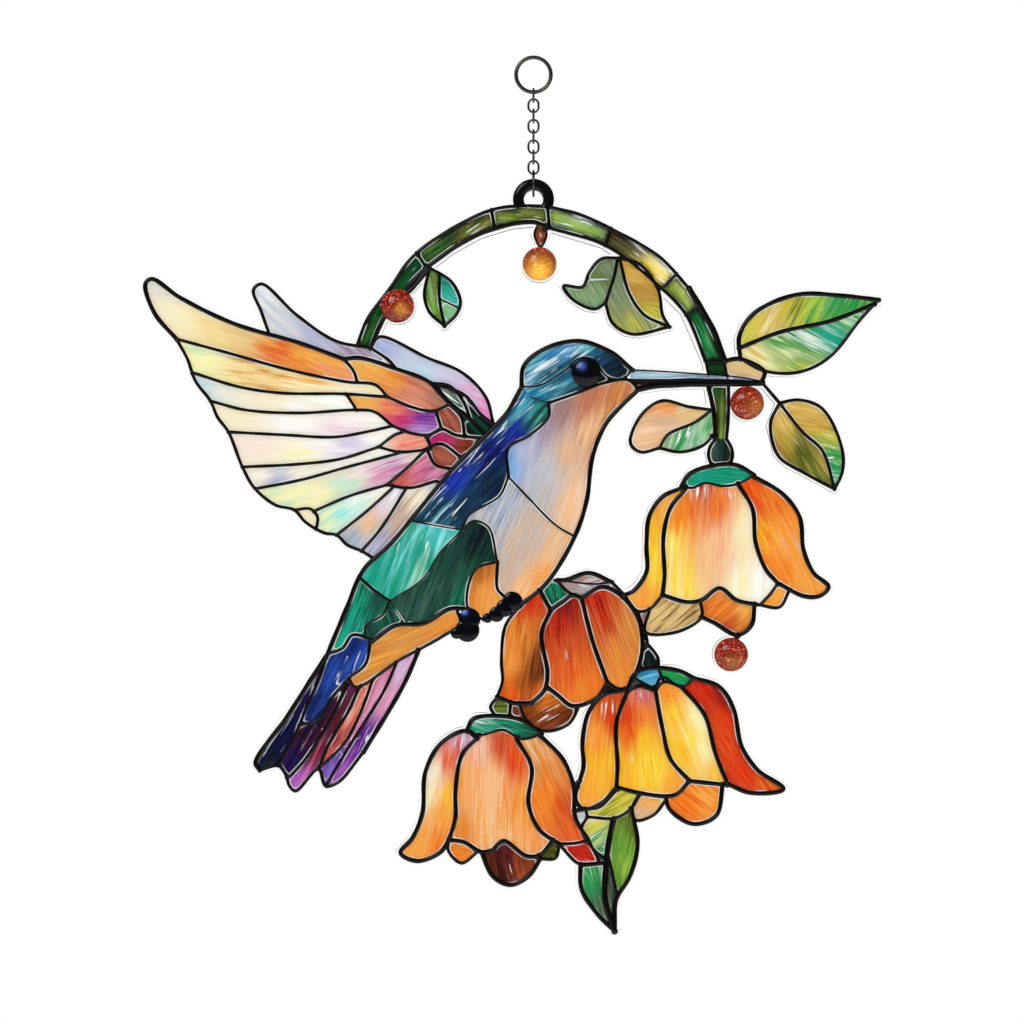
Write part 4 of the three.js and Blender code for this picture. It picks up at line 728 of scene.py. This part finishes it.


# Streaky glass ink, cured to a gloss: a wash of colour that lets light through, brushed streaks of a second
# ink, pale flecks of painted highlight, and a broken painted highlight along the rim where the ink meets the
# raised black line. The brush map is in millimetres: a broad streak is 11 by 1.1, a fine one 7 by 0.4 and a
# fleck 8 by 0.6. The rim highlight breaks about every 6 mm.
def streaky_glass_ink():
    material, tree = new_material("streaky_glass_ink")
    flow = node(tree, "UVMap", {"uv_map": "brush"})
    coords = node(tree, "TexCoord", out="Object")
    wash = node(tree, "Attribute", {"attribute_name": "wash"})
    streak = node(tree, "Attribute", {"attribute_name": "streak"})
    edge = node(tree, "Attribute", {"attribute_name": "edge"}, out="Fac")
    fleck = node(tree, "Attribute", {"attribute_name": "fleck"}, out="Fac")
    long_map = node(tree, "Mapping", {"Scale": (0.09, 0.9, 1)}, {"Vector": flow})
    fine_map = node(tree, "Mapping", {"Scale": (0.14, 2.6, 1)}, {"Vector": flow})
    dash_map = node(tree, "Mapping", {"Scale": (0.13, 1.6, 1)}, {"Vector": flow})
    broad = node(tree, "TexNoise", {"Scale": 1.0, "Detail": 3.0, "Distortion": 0.6}, {"Vector": long_map})
    fine = node(tree, "TexNoise", {"Scale": 1.0, "Detail": 2.0, "Distortion": 0.4}, {"Vector": fine_map})
    dash = node(tree, "TexNoise", {"Scale": 1.0, "Detail": 2.0, "Distortion": 0.8}, {"Vector": dash_map})
    patches = node(tree, "TexNoise", {"Scale": 170.0, "Detail": 1.0}, {"Vector": coords})
    both = node(tree, "Math", {"operation": "MULTIPLY_ADD", 1: 0.4}, {0: fine, 2: broad})
    mask = node(tree, "MapRange", {"From Min": 0.6, "From Max": 0.96, "interpolation_type": "SMOOTHSTEP"},
                {"Value": both})
    # Flecks and veins: painted highlights, dashed along the brush where the fleck attribute is strong.
    caught = node(tree, "Math", {"operation": "MULTIPLY_ADD", 1: 0.24}, {0: fleck, 2: dash})
    flecks = node(tree, "MapRange", {"From Min": 0.77, "From Max": 0.84, "To Max": 0.9},
                  {"Value": caught})
    # The rim: a painted highlight in a thin band just beside the black line, broken into patches.
    off_edge = node(tree, "Math", {"operation": "SUBTRACT", 1: 0.07}, {0: edge})
    beside = node(tree, "Math", {"operation": "ABSOLUTE"}, {0: off_edge})
    band = node(tree, "MapRange", {"From Min": 0.14, "From Max": 0.04}, {"Value": beside})
    broken = node(tree, "MapRange", {"From Min": 0.46, "From Max": 0.6, "To Max": 0.8},
                  {"Value": patches})
    rim = node(tree, "Math", {"operation": "MULTIPLY"}, {0: band, 1: broken})
    bright = node(tree, "Math", {"operation": "MAXIMUM"}, {0: rim, 1: flecks})
    mixed = node(tree, "Mix", {"data_type": "RGBA"}, {"Factor": mask, 6: wash, 7: streak}, out=2)
    strength = node(tree, "MapRange", {"From Min": 0.35, "From Max": 0.65, "To Min": 0.87, "To Max": 1.22},
                    {"Value": fine})
    colour = node(tree, "Gamma", {}, {"Color": mixed, "Gamma": strength})
    lit = node(tree, "Mix", {"data_type": "RGBA", 7: hex_colour("#EFF6F6")},
               {"Factor": bright, 6: colour}, out=2)
    bump = node(tree, "Bump", {"Strength": 0.08, "Distance": 0.0002}, {"Height": both})
    finish_material(tree, {"Roughness": 0.12, "IOR": 1.5, "Transmission Weight": 0.55,
                           "Specular IOR Level": 0.3}, {"Base Color": lit, "Normal": bump})
    return material


# Screen-raised black enamel: a glossy rounded bead of black, a little uneven every millimetre or so, that
# catches thin highlights.
def black_enamel():
    material, tree = new_material("black_enamel")
    coords = node(tree, "TexCoord", out="Object")
    waves = node(tree, "TexNoise", {"Scale": 900.0, "Detail": 2.0}, {"Vector": coords})
    bump = node(tree, "Bump", {"Strength": 0.15, "Distance": 0.0001}, {"Height": waves})
    finish_material(tree, {"Base Color": hex_colour("#070504"), "Roughness": 0.14, "IOR": 1.5,
                           "Specular IOR Level": 0.22}, {"Normal": bump})
    return material


# Crackled amber resin: ruby red with orange glints under a millimetre across, gold where the light gathers.
def amber_resin():
    material, tree = new_material("amber_resin")
    coords = node(tree, "TexCoord", out="Object")
    glow = node(tree, "Attribute", {"attribute_name": "glow"}, out="Fac")
    crackle = node(tree, "TexNoise", {"Scale": 1300.0, "Detail": 2.0, "Distortion": 1.6},
                   {"Vector": coords})
    glints = node(tree, "MapRange", {"From Min": 0.56, "From Max": 0.66}, {"Value": crackle})
    body = node(tree, "Mix", {"data_type": "RGBA", 6: hex_colour("#6C0B08"), 7: hex_colour("#FBB024")},
                {"Factor": glow}, out=2)
    spark = node(tree, "Mix", {"data_type": "RGBA", 6: hex_colour("#E0643C"), 7: hex_colour("#FFEC80")},
                 {"Factor": glow}, out=2)
    colour = node(tree, "Mix", {"data_type": "RGBA"}, {"Factor": glints, 6: body, 7: spark}, out=2)
    finish_material(tree, {"Roughness": 0.14, "IOR": 1.5, "Transmission Weight": 0.1,
                           "Specular IOR Level": 0.35}, {"Base Color": colour})
    return material


# Cast black resin: deep gloss with a blue cast where the light gathers, as a bird's eye has.
def black_resin():
    material, tree = new_material("black_resin")
    glow = node(tree, "Attribute", {"attribute_name": "glow"}, out="Fac")
    colour = node(tree, "Mix", {"data_type": "RGBA", 6: hex_colour("#020308"), 7: hex_colour("#4A6CC0")},
                  {"Factor": glow}, out=2)
    finish_material(tree, {"Roughness": 0.1, "IOR": 1.5, "Specular IOR Level": 0.25}, {"Base Color": colour})
    return material


# Gunmetal-plated steel wire: dark, worn in half-millimetre marks, with a soft bright line along each bend.
def gunmetal_wire():
    material, tree = new_material("gunmetal_wire")
    coords = node(tree, "TexCoord", out="Object")
    wear = node(tree, "TexNoise", {"Scale": 1800.0, "Detail": 3.0}, {"Vector": coords})
    rough = node(tree, "MapRange", {"To Min": 0.2, "To Max": 0.42}, {"Value": wear})
    finish_material(tree, {"Base Color": hex_colour("#5E5954"), "Metallic": 1.0}, {"Roughness": rough})
    return material


# An edge sharper than this stays sharp.
CREASE = math.radians(50)
FILM_CREASE = math.radians(40)


def deselect_all():
    bpy.ops.object.select_all(action="DESELECT")


def pick(piece):
    """Makes one piece the only one selected."""
    deselect_all()
    piece.select_set(True)
    bpy.context.view_layer.objects.active = piece


def settle(piece, slot, material, *nodes):
    """Gives a finished piece its material, its body and the solids that it stands for."""
    piece.data.materials.clear()
    piece.data.materials.append(material)
    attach(piece, "root")
    if nodes:
        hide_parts(*nodes)
    return piece


# How much a line's width wavers, how fast along it, and how far it swells where it meets another.
WAVER = 0.05
WAVER_STEP = 0.45
SWELL = 1.15
# The rounded end of a line: how far out each of its two last points lies, and how thick the line is there, as
# shares of half its width.
END_REACH = (0.7, 1)
END_THICKNESS = (0.8, 0.2)
# The short black bridge that holds the lowest bead under the bell's lip.
BEAD_BRIDGE = ((738, 634.2), (737.5, 635.6))


def make_leading(traced, material):
    """Every line as a rounded bead on the sheet's face, a little wavy and swollen where it meets another."""
    curve = bpy.data.curves.new("black_outline", "CURVE")
    curve.dimensions = "3D"
    curve.bevel_depth = 1
    curve.bevel_resolution = 2
    curve.use_fill_caps = True
    random.seed(7)
    bridge = (BOLD, [place(*spot) for spot in BEAD_BRIDGE])
    for width, path in [*traced.values(), bridge]:
        if width == 0:
            continue
        first, last = (path[0] - path[1]).normalized(), (path[-1] - path[-2]).normalized()
        half = width / 2
        start = [path[0] + first * half * reach for reach in reversed(END_REACH)]
        end = [path[-1] + last * half * reach for reach in END_REACH]
        run = [*start, *path, *end]
        phase = random.uniform(0, 6)
        radii = [half * (1 + WAVER * math.sin(phase + i * WAVER_STEP)) for i in range(len(path))]
        radii[0] *= SWELL
        radii[-1] *= SWELL
        ends = [half * share for share in END_THICKNESS]
        radii = [*reversed(ends), *radii, *ends]
        spline = curve.splines.new("POLY")
        spline.points.add(len(run) - 1)
        for point, (spot, radius) in zip(spline.points, zip(run, radii)):
            point.co = (spot.x, SHEET_FRONT, spot.y, 1)
            point.radius = radius
    piece = bpy.data.objects.new("black_outline", curve)
    bpy.context.collection.objects.link(piece)
    pick(piece)
    bpy.ops.object.convert(target="MESH")
    flatten = LEADING_HEIGHT / (BOLD / 2)
    for vertex in piece.data.vertices:
        vertex.co.y = SHEET_FRONT + min(vertex.co.y - SHEET_FRONT, 0) * flatten
    pick(piece)
    bpy.ops.object.shade_smooth_by_angle(angle=CREASE)
    return settle(piece, "black_leading", material, "leading")


POINT_SPACING = 0.66 * MM
FILM_GAP = 0.02 * MM
FILM_EDGE = 0.06 * MM
FILM_CROWN = 0.24 * MM
CROWN_REACH = 1.6 * MM
# How steeply a pane rises from its edge, and how near a line the film's own points come, in spacings.
CROWN_POWER = 1.5
CLEAR_OF_LINES = 0.6
MERGE_REACH = 2e-5
# A touch of colour reaches further along the brush than across it, and its border is dragged out unevenly.
TOUCH_REACH = 1.2 * MM
LENGTHWISE = 0.7
CROSSWISE = 1.2
DRAG = 1.8 * MM
DRAG_LENGTHWISE = 0.08
DRAG_CROSSWISE = 0.8
# How far from a line the painted shade reaches.
EDGE_SHADE_WIDTH = 0.5 * MM


def flat_tree(points):
    """A search tree over points of the sheet's plane."""
    tree = KDTree(len(points))
    for i, point in enumerate(points):
        tree.insert((point.x, point.y, 0), i)
    tree.balance()
    return tree


def arrange(traced, veins):
    """Triangulates the whole picture with the lines as fixed edges, and groups the triangles into panes."""
    points, edges = [], []
    for _, path in traced.values():
        base = len(points)
        points.extend(path)
        edges.extend((base + i, base + i + 1) for i in range(len(path) - 1))
    for path in veins:
        points.extend(path)
    lines = flat_tree(points)
    row_height = POINT_SPACING * math.sqrt(3) / 2
    rows = int((VINE_TOP_Z - sheet_low[2]) / row_height) + 2
    columns = int((sheet_high[0] - sheet_low[0]) / POINT_SPACING) + 1
    for row in range(rows):
        for column in range(columns):
            x = sheet_low[0] + (column + (row % 2) / 2) * POINT_SPACING
            z = sheet_low[2] + row * row_height
            if lines.find((x, z, 0))[2] > POINT_SPACING * CLEAR_OF_LINES:
                points.append(Vector((x, z)))
    scaled = [point / MM for point in points]
    spots, all_edges, faces, _, edge_sources, _ = delaunay_2d_cdt(scaled, edges, [], 0, MERGE_REACH, True)
    spots = [spot * MM for spot in spots]
    walls = {tuple(sorted(edge)) for edge, sources in zip(all_edges, edge_sources) if sources}
    sides = {}
    for index, face in enumerate(faces):
        for i in range(3):
            sides.setdefault(tuple(sorted((face[i - 1], face[i]))), []).append(index)
    return spots, faces, walls, sides


def flood(start, faces, walls, sides):
    """All the triangles that can be reached from one without crossing a line."""
    members, waiting = {start}, [start]
    while waiting:
        face = faces[waiting.pop()]
        for i in range(3):
            key = tuple(sorted((face[i - 1], face[i])))
            if key in walls:
                continue
            for other in sides[key]:
                if other not in members:
                    members.add(other)
                    waiting.append(other)
    return members


def make_panes(traced, material):
    """The colour film: one domed plate per pane, with its inks laid on as vertex colours."""
    veins = [smooth_path(vein) for vein in VEINS]
    spots, faces, walls, sides = arrange(traced, veins)
    centres = flat_tree([(spots[a] + spots[b] + spots[c]) / 3 for a, b, c in faces])
    inked = [(path, i, width / 2) for width, path in traced.values() if width for i in range(len(path))]
    inked += [(path, i, 0) for path in veins for i in range(len(path))]
    lines = flat_tree([path[i] for path, i, _ in inked])
    vertices, polygons, colours, streaks, brush, edges, flecks = [], [], [], [], [], [], []
    random.seed(11)
    for name, (angle, *touches) in PANES.items():
        start = centres.find((*place(*touches[0][2:]), 0))[1]
        members = flood(start, faces, walls, sides)
        turn = math.radians(angle)
        along = Vector((math.cos(turn), -math.sin(turn)))
        across = Vector((math.sin(turn), math.cos(turn)))
        shift = (random.uniform(0, 90), random.uniform(0, 90))
        marks = []
        for wash, streak, x, y in touches:
            marks.append((place(x, y), hex_colour(INKS[wash]), hex_colour(INKS[streak])))
        amount, reach, *middles = PAINTED_GLINTS.get(name, (0, 1, touches[0][2:]))
        fleck_spots = [place(*middle) for middle in middles]
        front = {}
        border = []
        for member in members:
            face = faces[member]
            for i in range(3):
                key = (face[i - 1], face[i])
                if tuple(sorted(key)) in walls:
                    border.append(key)
        for index in sorted({i for member in members for i in faces[member]}):
            spot = spots[index]
            path, at, half = inked[lines.find((spot.x, spot.y, 0))[1]]
            depth = (nearest_on(path[max(at - 1, 0):at + 2], spot) - spot).length
            crown = FILM_CROWN * (1 - math.exp(-((depth / CROWN_REACH) ** CROWN_POWER)))
            # The distance from the nearest line's edge places the painted rim highlight; rimless panes get
            # none.
            edges.extend([1 if name in RIMLESS else (depth - half) / MM] * 2)
            near = min((spot - fleck_spot).length for fleck_spot in fleck_spots) / (reach * UNIT)
            scratched = half == 0 and depth < TOUCHING
            flecks.extend([VEIN_CATCH if scratched else amount * math.exp(-(near ** 2))] * 2)
            front[index] = len(vertices)
            vertices.append((spot.x, SHEET_FRONT - FILM_GAP - FILM_EDGE - crown, spot.y))
            vertices.append((spot.x, SHEET_FRONT - FILM_GAP, spot.y))
            u, v = spot.dot(along) / MM + shift[0], spot.dot(across) / MM + shift[1]
            dragged = spot + along * DRAG * noise.noise((u * DRAG_LENGTHWISE, v * DRAG_CROSSWISE, 0))
            weights = []
            for mark, _, _ in marks:
                off = dragged - mark
                away = (off.dot(along) * LENGTHWISE) ** 2 + (off.dot(across) * CROSSWISE) ** 2
                weights.append(1 / (away + TOUCH_REACH ** 2) ** 1.5)
            # Painted shade: the colour is darkened next to the lines.
            edge_shade = DEEPEST_EDGE_SHADE.get(name, EDGE_SHADE) * math.exp(-(max(depth - half, 0) / EDGE_SHADE_WIDTH) ** 2)
            total = sum(weights) / (1 - edge_shade)
            for layer, part in ((colours, 1), (streaks, 2)):
                mixed = [sum(w * mark[part][c] for w, mark in zip(weights, marks)) / total for c in range(3)]
                layer.extend([(*mixed, 1)] * 2)
            brush.extend([(u, v)] * 2)
        for member in members:
            a, b, c = (front[i] for i in faces[member])
            polygons.append((a, b, c))
            polygons.append((c + 1, b + 1, a + 1))
        for i, j in border:
            a, b = front[i], front[j]
            polygons.append((b, a, a + 1, b + 1))
    mesh = bpy.data.meshes.new("picture_film")
    mesh.from_pydata(vertices, [], polygons)
    for name, values in (("wash", colours), ("streak", streaks)):
        layer = mesh.color_attributes.new(name, "FLOAT_COLOR", "POINT")
        layer.data.foreach_set("color", [c for value in values for c in value])
    for name, values in (("edge", edges), ("fleck", flecks)):
        mesh.attributes.new(name, "FLOAT", "POINT").data.foreach_set("value", values)
    uv = mesh.uv_layers.new(name="brush")
    uv.data.foreach_set("uv", [c for loop in mesh.loops for c in brush[loop.vertex_index]])
    mesh.update()
    piece = bpy.data.objects.new("picture_film", mesh)
    bpy.context.collection.objects.link(piece)
    pick(piece)
    bpy.ops.object.shade_smooth_by_angle(angle=FILM_CREASE)
    return settle(piece, "clear_acrylic", material)


def disc_dome(name, centre, radius, rim, height, segments=48):
    """A flat-backed dome on the sheet's face, from a flattened ball cut off behind."""
    deselect_all()
    spot = place(*centre)
    bpy.ops.mesh.primitive_uv_sphere_add(segments=segments, ring_count=24, radius=radius,
                                         location=(spot.x, SHEET_FRONT - rim, spot.y))
    piece = bpy.context.active_object
    piece.name = name
    piece.scale = (1, height / radius, 1)
    bpy.ops.object.transform_apply(location=True, rotation=True, scale=True)
    bpy.ops.object.mode_set(mode="EDIT")
    bpy.ops.mesh.select_all(action="SELECT")
    cut = (0, SHEET_FRONT - rim, 0)
    bpy.ops.mesh.bisect(plane_co=cut, plane_no=(0, 1, 0), use_fill=True, clear_outer=True)
    bpy.ops.mesh.select_all(action="DESELECT")
    bpy.ops.object.mode_set(mode="OBJECT")
    for polygon in piece.data.polygons:
        polygon.select = all(abs(piece.data.vertices[i].co.y - (SHEET_FRONT - rim)) < TOUCHING
                             for i in polygon.vertices)
    bpy.ops.object.mode_set(mode="EDIT")
    bpy.ops.mesh.extrude_region_move(TRANSFORM_OT_translate={"value": (0, rim - FILM_GAP, 0)})
    bpy.ops.object.mode_set(mode="OBJECT")
    bpy.ops.object.shade_smooth_by_angle(angle=CREASE)
    return piece


def light_up(piece, strength, x, y, reach):
    """Marks how much light gathers at each point of a dome."""
    middle = place(x, y)
    glow = [strength * math.exp(-((Vector((vertex.co.x, vertex.co.z)) - middle).length / (reach * UNIT)) ** 2)
            for vertex in piece.data.vertices]
    piece.data.attributes.new("glow", "FLOAT", "POINT").data.foreach_set("value", glow)
    return piece


def wire_loop(name, node_name, wire, material):
    """A ring or oval link bent from round wire, in the place and size of its solid."""
    low, high = (Vector(corner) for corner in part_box(node_name))
    centre = (low + high) / 2
    size = high - low
    edge_on = size.y > size.x
    width = max(size.x, size.y)
    deselect_all()
    turn = (0, math.radians(90), 0) if edge_on else (math.radians(90), 0, 0)
    bpy.ops.mesh.primitive_torus_add(major_segments=48, minor_segments=16, major_radius=(width - wire) / 2,
                                     minor_radius=wire / 2, location=centre, rotation=turn)
    piece = bpy.context.active_object
    piece.name = name
    bpy.ops.object.transform_apply(location=True, rotation=True, scale=True)
    stretch = (size.z - width) / 2
    for vertex in piece.data.vertices:
        if abs(vertex.co.z - centre.z) > TOUCHING:
            vertex.co.z += math.copysign(stretch, vertex.co.z - centre.z)
    bpy.ops.object.shade_smooth()
    return settle(piece, "dark_metal", material, node_name)


def make_tab(material):
    """The black washer-like loop at the top of the arch that the jump ring goes through."""
    deselect_all()
    middle = (TAB_RADIUS + TAB_HOLE_RADIUS) / 2
    thick = TAB_RADIUS - TAB_HOLE_RADIUS
    bpy.ops.mesh.primitive_torus_add(major_segments=72, minor_segments=20, major_radius=middle,
                                     minor_radius=thick / 2, location=(0, SHEET_FRONT, TAB_Z),
                                     rotation=(math.radians(90), 0, 0))
    piece = bpy.context.active_object
    piece.name = "hanging_tab"
    bpy.ops.object.transform_apply(location=True, rotation=True, scale=True)
    bpy.ops.object.mode_set(mode="EDIT")
    bpy.ops.mesh.bisect(plane_co=(0, SHEET_FRONT, 0), plane_no=(0, 1, 0), use_fill=True, clear_outer=True)
    bpy.ops.mesh.select_all(action="SELECT")
    bpy.ops.mesh.bisect(plane_co=(0, 0, VINE_TOP_Z), plane_no=(0, 0, 1), use_fill=True, clear_inner=True)
    bpy.ops.object.mode_set(mode="OBJECT")
    flatten = LEADING_HEIGHT / (thick / 2)
    for vertex in piece.data.vertices:
        vertex.co.y = SHEET_FRONT + (vertex.co.y - SHEET_FRONT) * flatten
    bpy.ops.object.shade_smooth_by_angle(angle=CREASE)
    return settle(piece, "black_leading", material)


# The claws: the middle of each round and its radius.
TOE_RIM = 0.1 * MM
TOES = ((470, 618, 11), (468, 629, 12), (457, 632, 6), (513, 600, 10), (505, 607, 9), (497, 613, 8),
        (488, 617, 5))


def make_toes(material):
    """The curled claws, rounds of black resin with a glint on the nearer foot."""
    rounds = []
    for index, (x, y, radius) in enumerate(TOES):
        rounds.append(disc_dome(f"toe_{index}", (x, y), radius * UNIT, TOE_RIM, LEADING_HEIGHT, 32))
    deselect_all()
    for piece in rounds:
        piece.select_set(True)
    bpy.context.view_layer.objects.active = rounds[0]
    bpy.ops.object.join()
    rounds[0].name = "claws"
    light_up(rounds[0], *GLOWS["claws"])
    return settle(rounds[0], "black_leading", material)


FLOOR_SIZE = 4
FLOOR_Z = -0.6
# Each lamp's name, place, size and power.
LAMPS = (("key", (-0.5, -0.9, 0.5), 0.5, 5), ("fill", (0.7, -0.8, 0.0), 0.4, 2))


def make_stage():
    """A plain pale floor well below the piece, soft lights and a bright even surround."""
    deselect_all()
    bpy.ops.mesh.primitive_plane_add(size=FLOOR_SIZE, location=(0, 0, FLOOR_Z))
    floor = bpy.context.active_object
    floor.name = "floor"
    material, tree = new_material("pale_floor")
    finish_material(tree, {"Base Color": hex_colour("#F4F3F0"), "Roughness": 0.7})
    floor.data.materials.append(material)
    world = bpy.data.worlds.new("studio")
    world.use_nodes = True
    tree = world.node_tree
    glossy = node(tree, "LightPath", out="Is Glossy Ray")
    through = node(tree, "LightPath", out="Is Transmission Ray")
    mirrored = node(tree, "Math", {"operation": "SUBTRACT", "use_clamp": True}, {0: glossy, 1: through})
    strength = node(tree, "MapRange", {"To Min": 1.0, "To Max": 0.12}, {"Value": mirrored})
    background = tree.nodes["Background"]
    background.inputs["Color"].default_value = (1, 1, 1, 1)
    tree.links.new(strength, background.inputs["Strength"])
    bpy.context.scene.world = world
    for name, where, size, power in LAMPS:
        light = bpy.data.lights.new(name, "AREA")
        light.size = size
        light.energy = power
        lamp = bpy.data.objects.new(name, light)
        bpy.context.collection.objects.link(lamp)
        lamp.location = where
        lamp.visible_glossy = name == "key"
        lamp.rotation_euler = (view_centre - lamp.location).to_track_quat("-Z", "Y").to_euler()
    bpy.context.scene.view_settings.view_transform = "Standard"


PHOTO_WIDTH = 1024
CAMERA_DISTANCE = 1.2
SENSOR_WIDTH = 36
# The photograph's middle, in the cartoon's units.
VIEW_CENTRE = (512.5, 511)
centre_spot = place(*VIEW_CENTRE)
view_centre = Vector((centre_spot.x, SHEET_FRONT, centre_spot.y))


def make_camera():
    """Level and square to the sheet, from far off, framed as the photograph is."""
    data = bpy.data.cameras.new("camera")
    data.sensor_width = SENSOR_WIDTH
    data.lens = SENSOR_WIDTH * CAMERA_DISTANCE / (PHOTO_WIDTH * UNIT)
    data.clip_start = 0.01
    camera = bpy.data.objects.new("camera", data)
    camera.location = view_centre - Vector((0, CAMERA_DISTANCE, 0))
    camera.rotation_euler = (math.radians(90), 0, 0)
    bpy.context.collection.objects.link(camera)
    bpy.context.scene.camera = camera


make_camera()
make_stage()

acrylic = clear_cast_acrylic()
ink = streaky_glass_ink()
enamel = black_enamel()
resin = amber_resin()
eye_resin = black_resin()
wire = gunmetal_wire()

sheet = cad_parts["acrylic_sheet"]
for slot in sheet.material_slots:
    slot.material = acrylic

traced = traced_lines()
make_leading(traced, enamel)
make_tab(enamel)
make_toes(eye_resin)
make_panes(traced, ink)
for name, centre in BEADS.items():
    dome = light_up(disc_dome(f"{name}_dome", centre, BEAD_RADIUS, BEAD_RIM, BEAD_DOME), *GLOWS[name])
    settle(dome, "amber_resin", resin, name)
dome = light_up(disc_dome("eye_dome", EYE, EYE_RADIUS, EYE_RIM, EYE_DOME), *GLOWS["eye"])
settle(dome, "black_resin", eye_resin, "eye")
wire_loop("ring_at_top", "hanging_ring", HANGING_RING_WIRE, wire)
wire_loop("ring_at_tab", "jump_ring", JUMP_RING_WIRE, wire)
for i in range(1, LINK_COUNT + 1):
    wire_loop(f"link_{i}", f"chain_link_{i}", LINK_WIRE, wire)
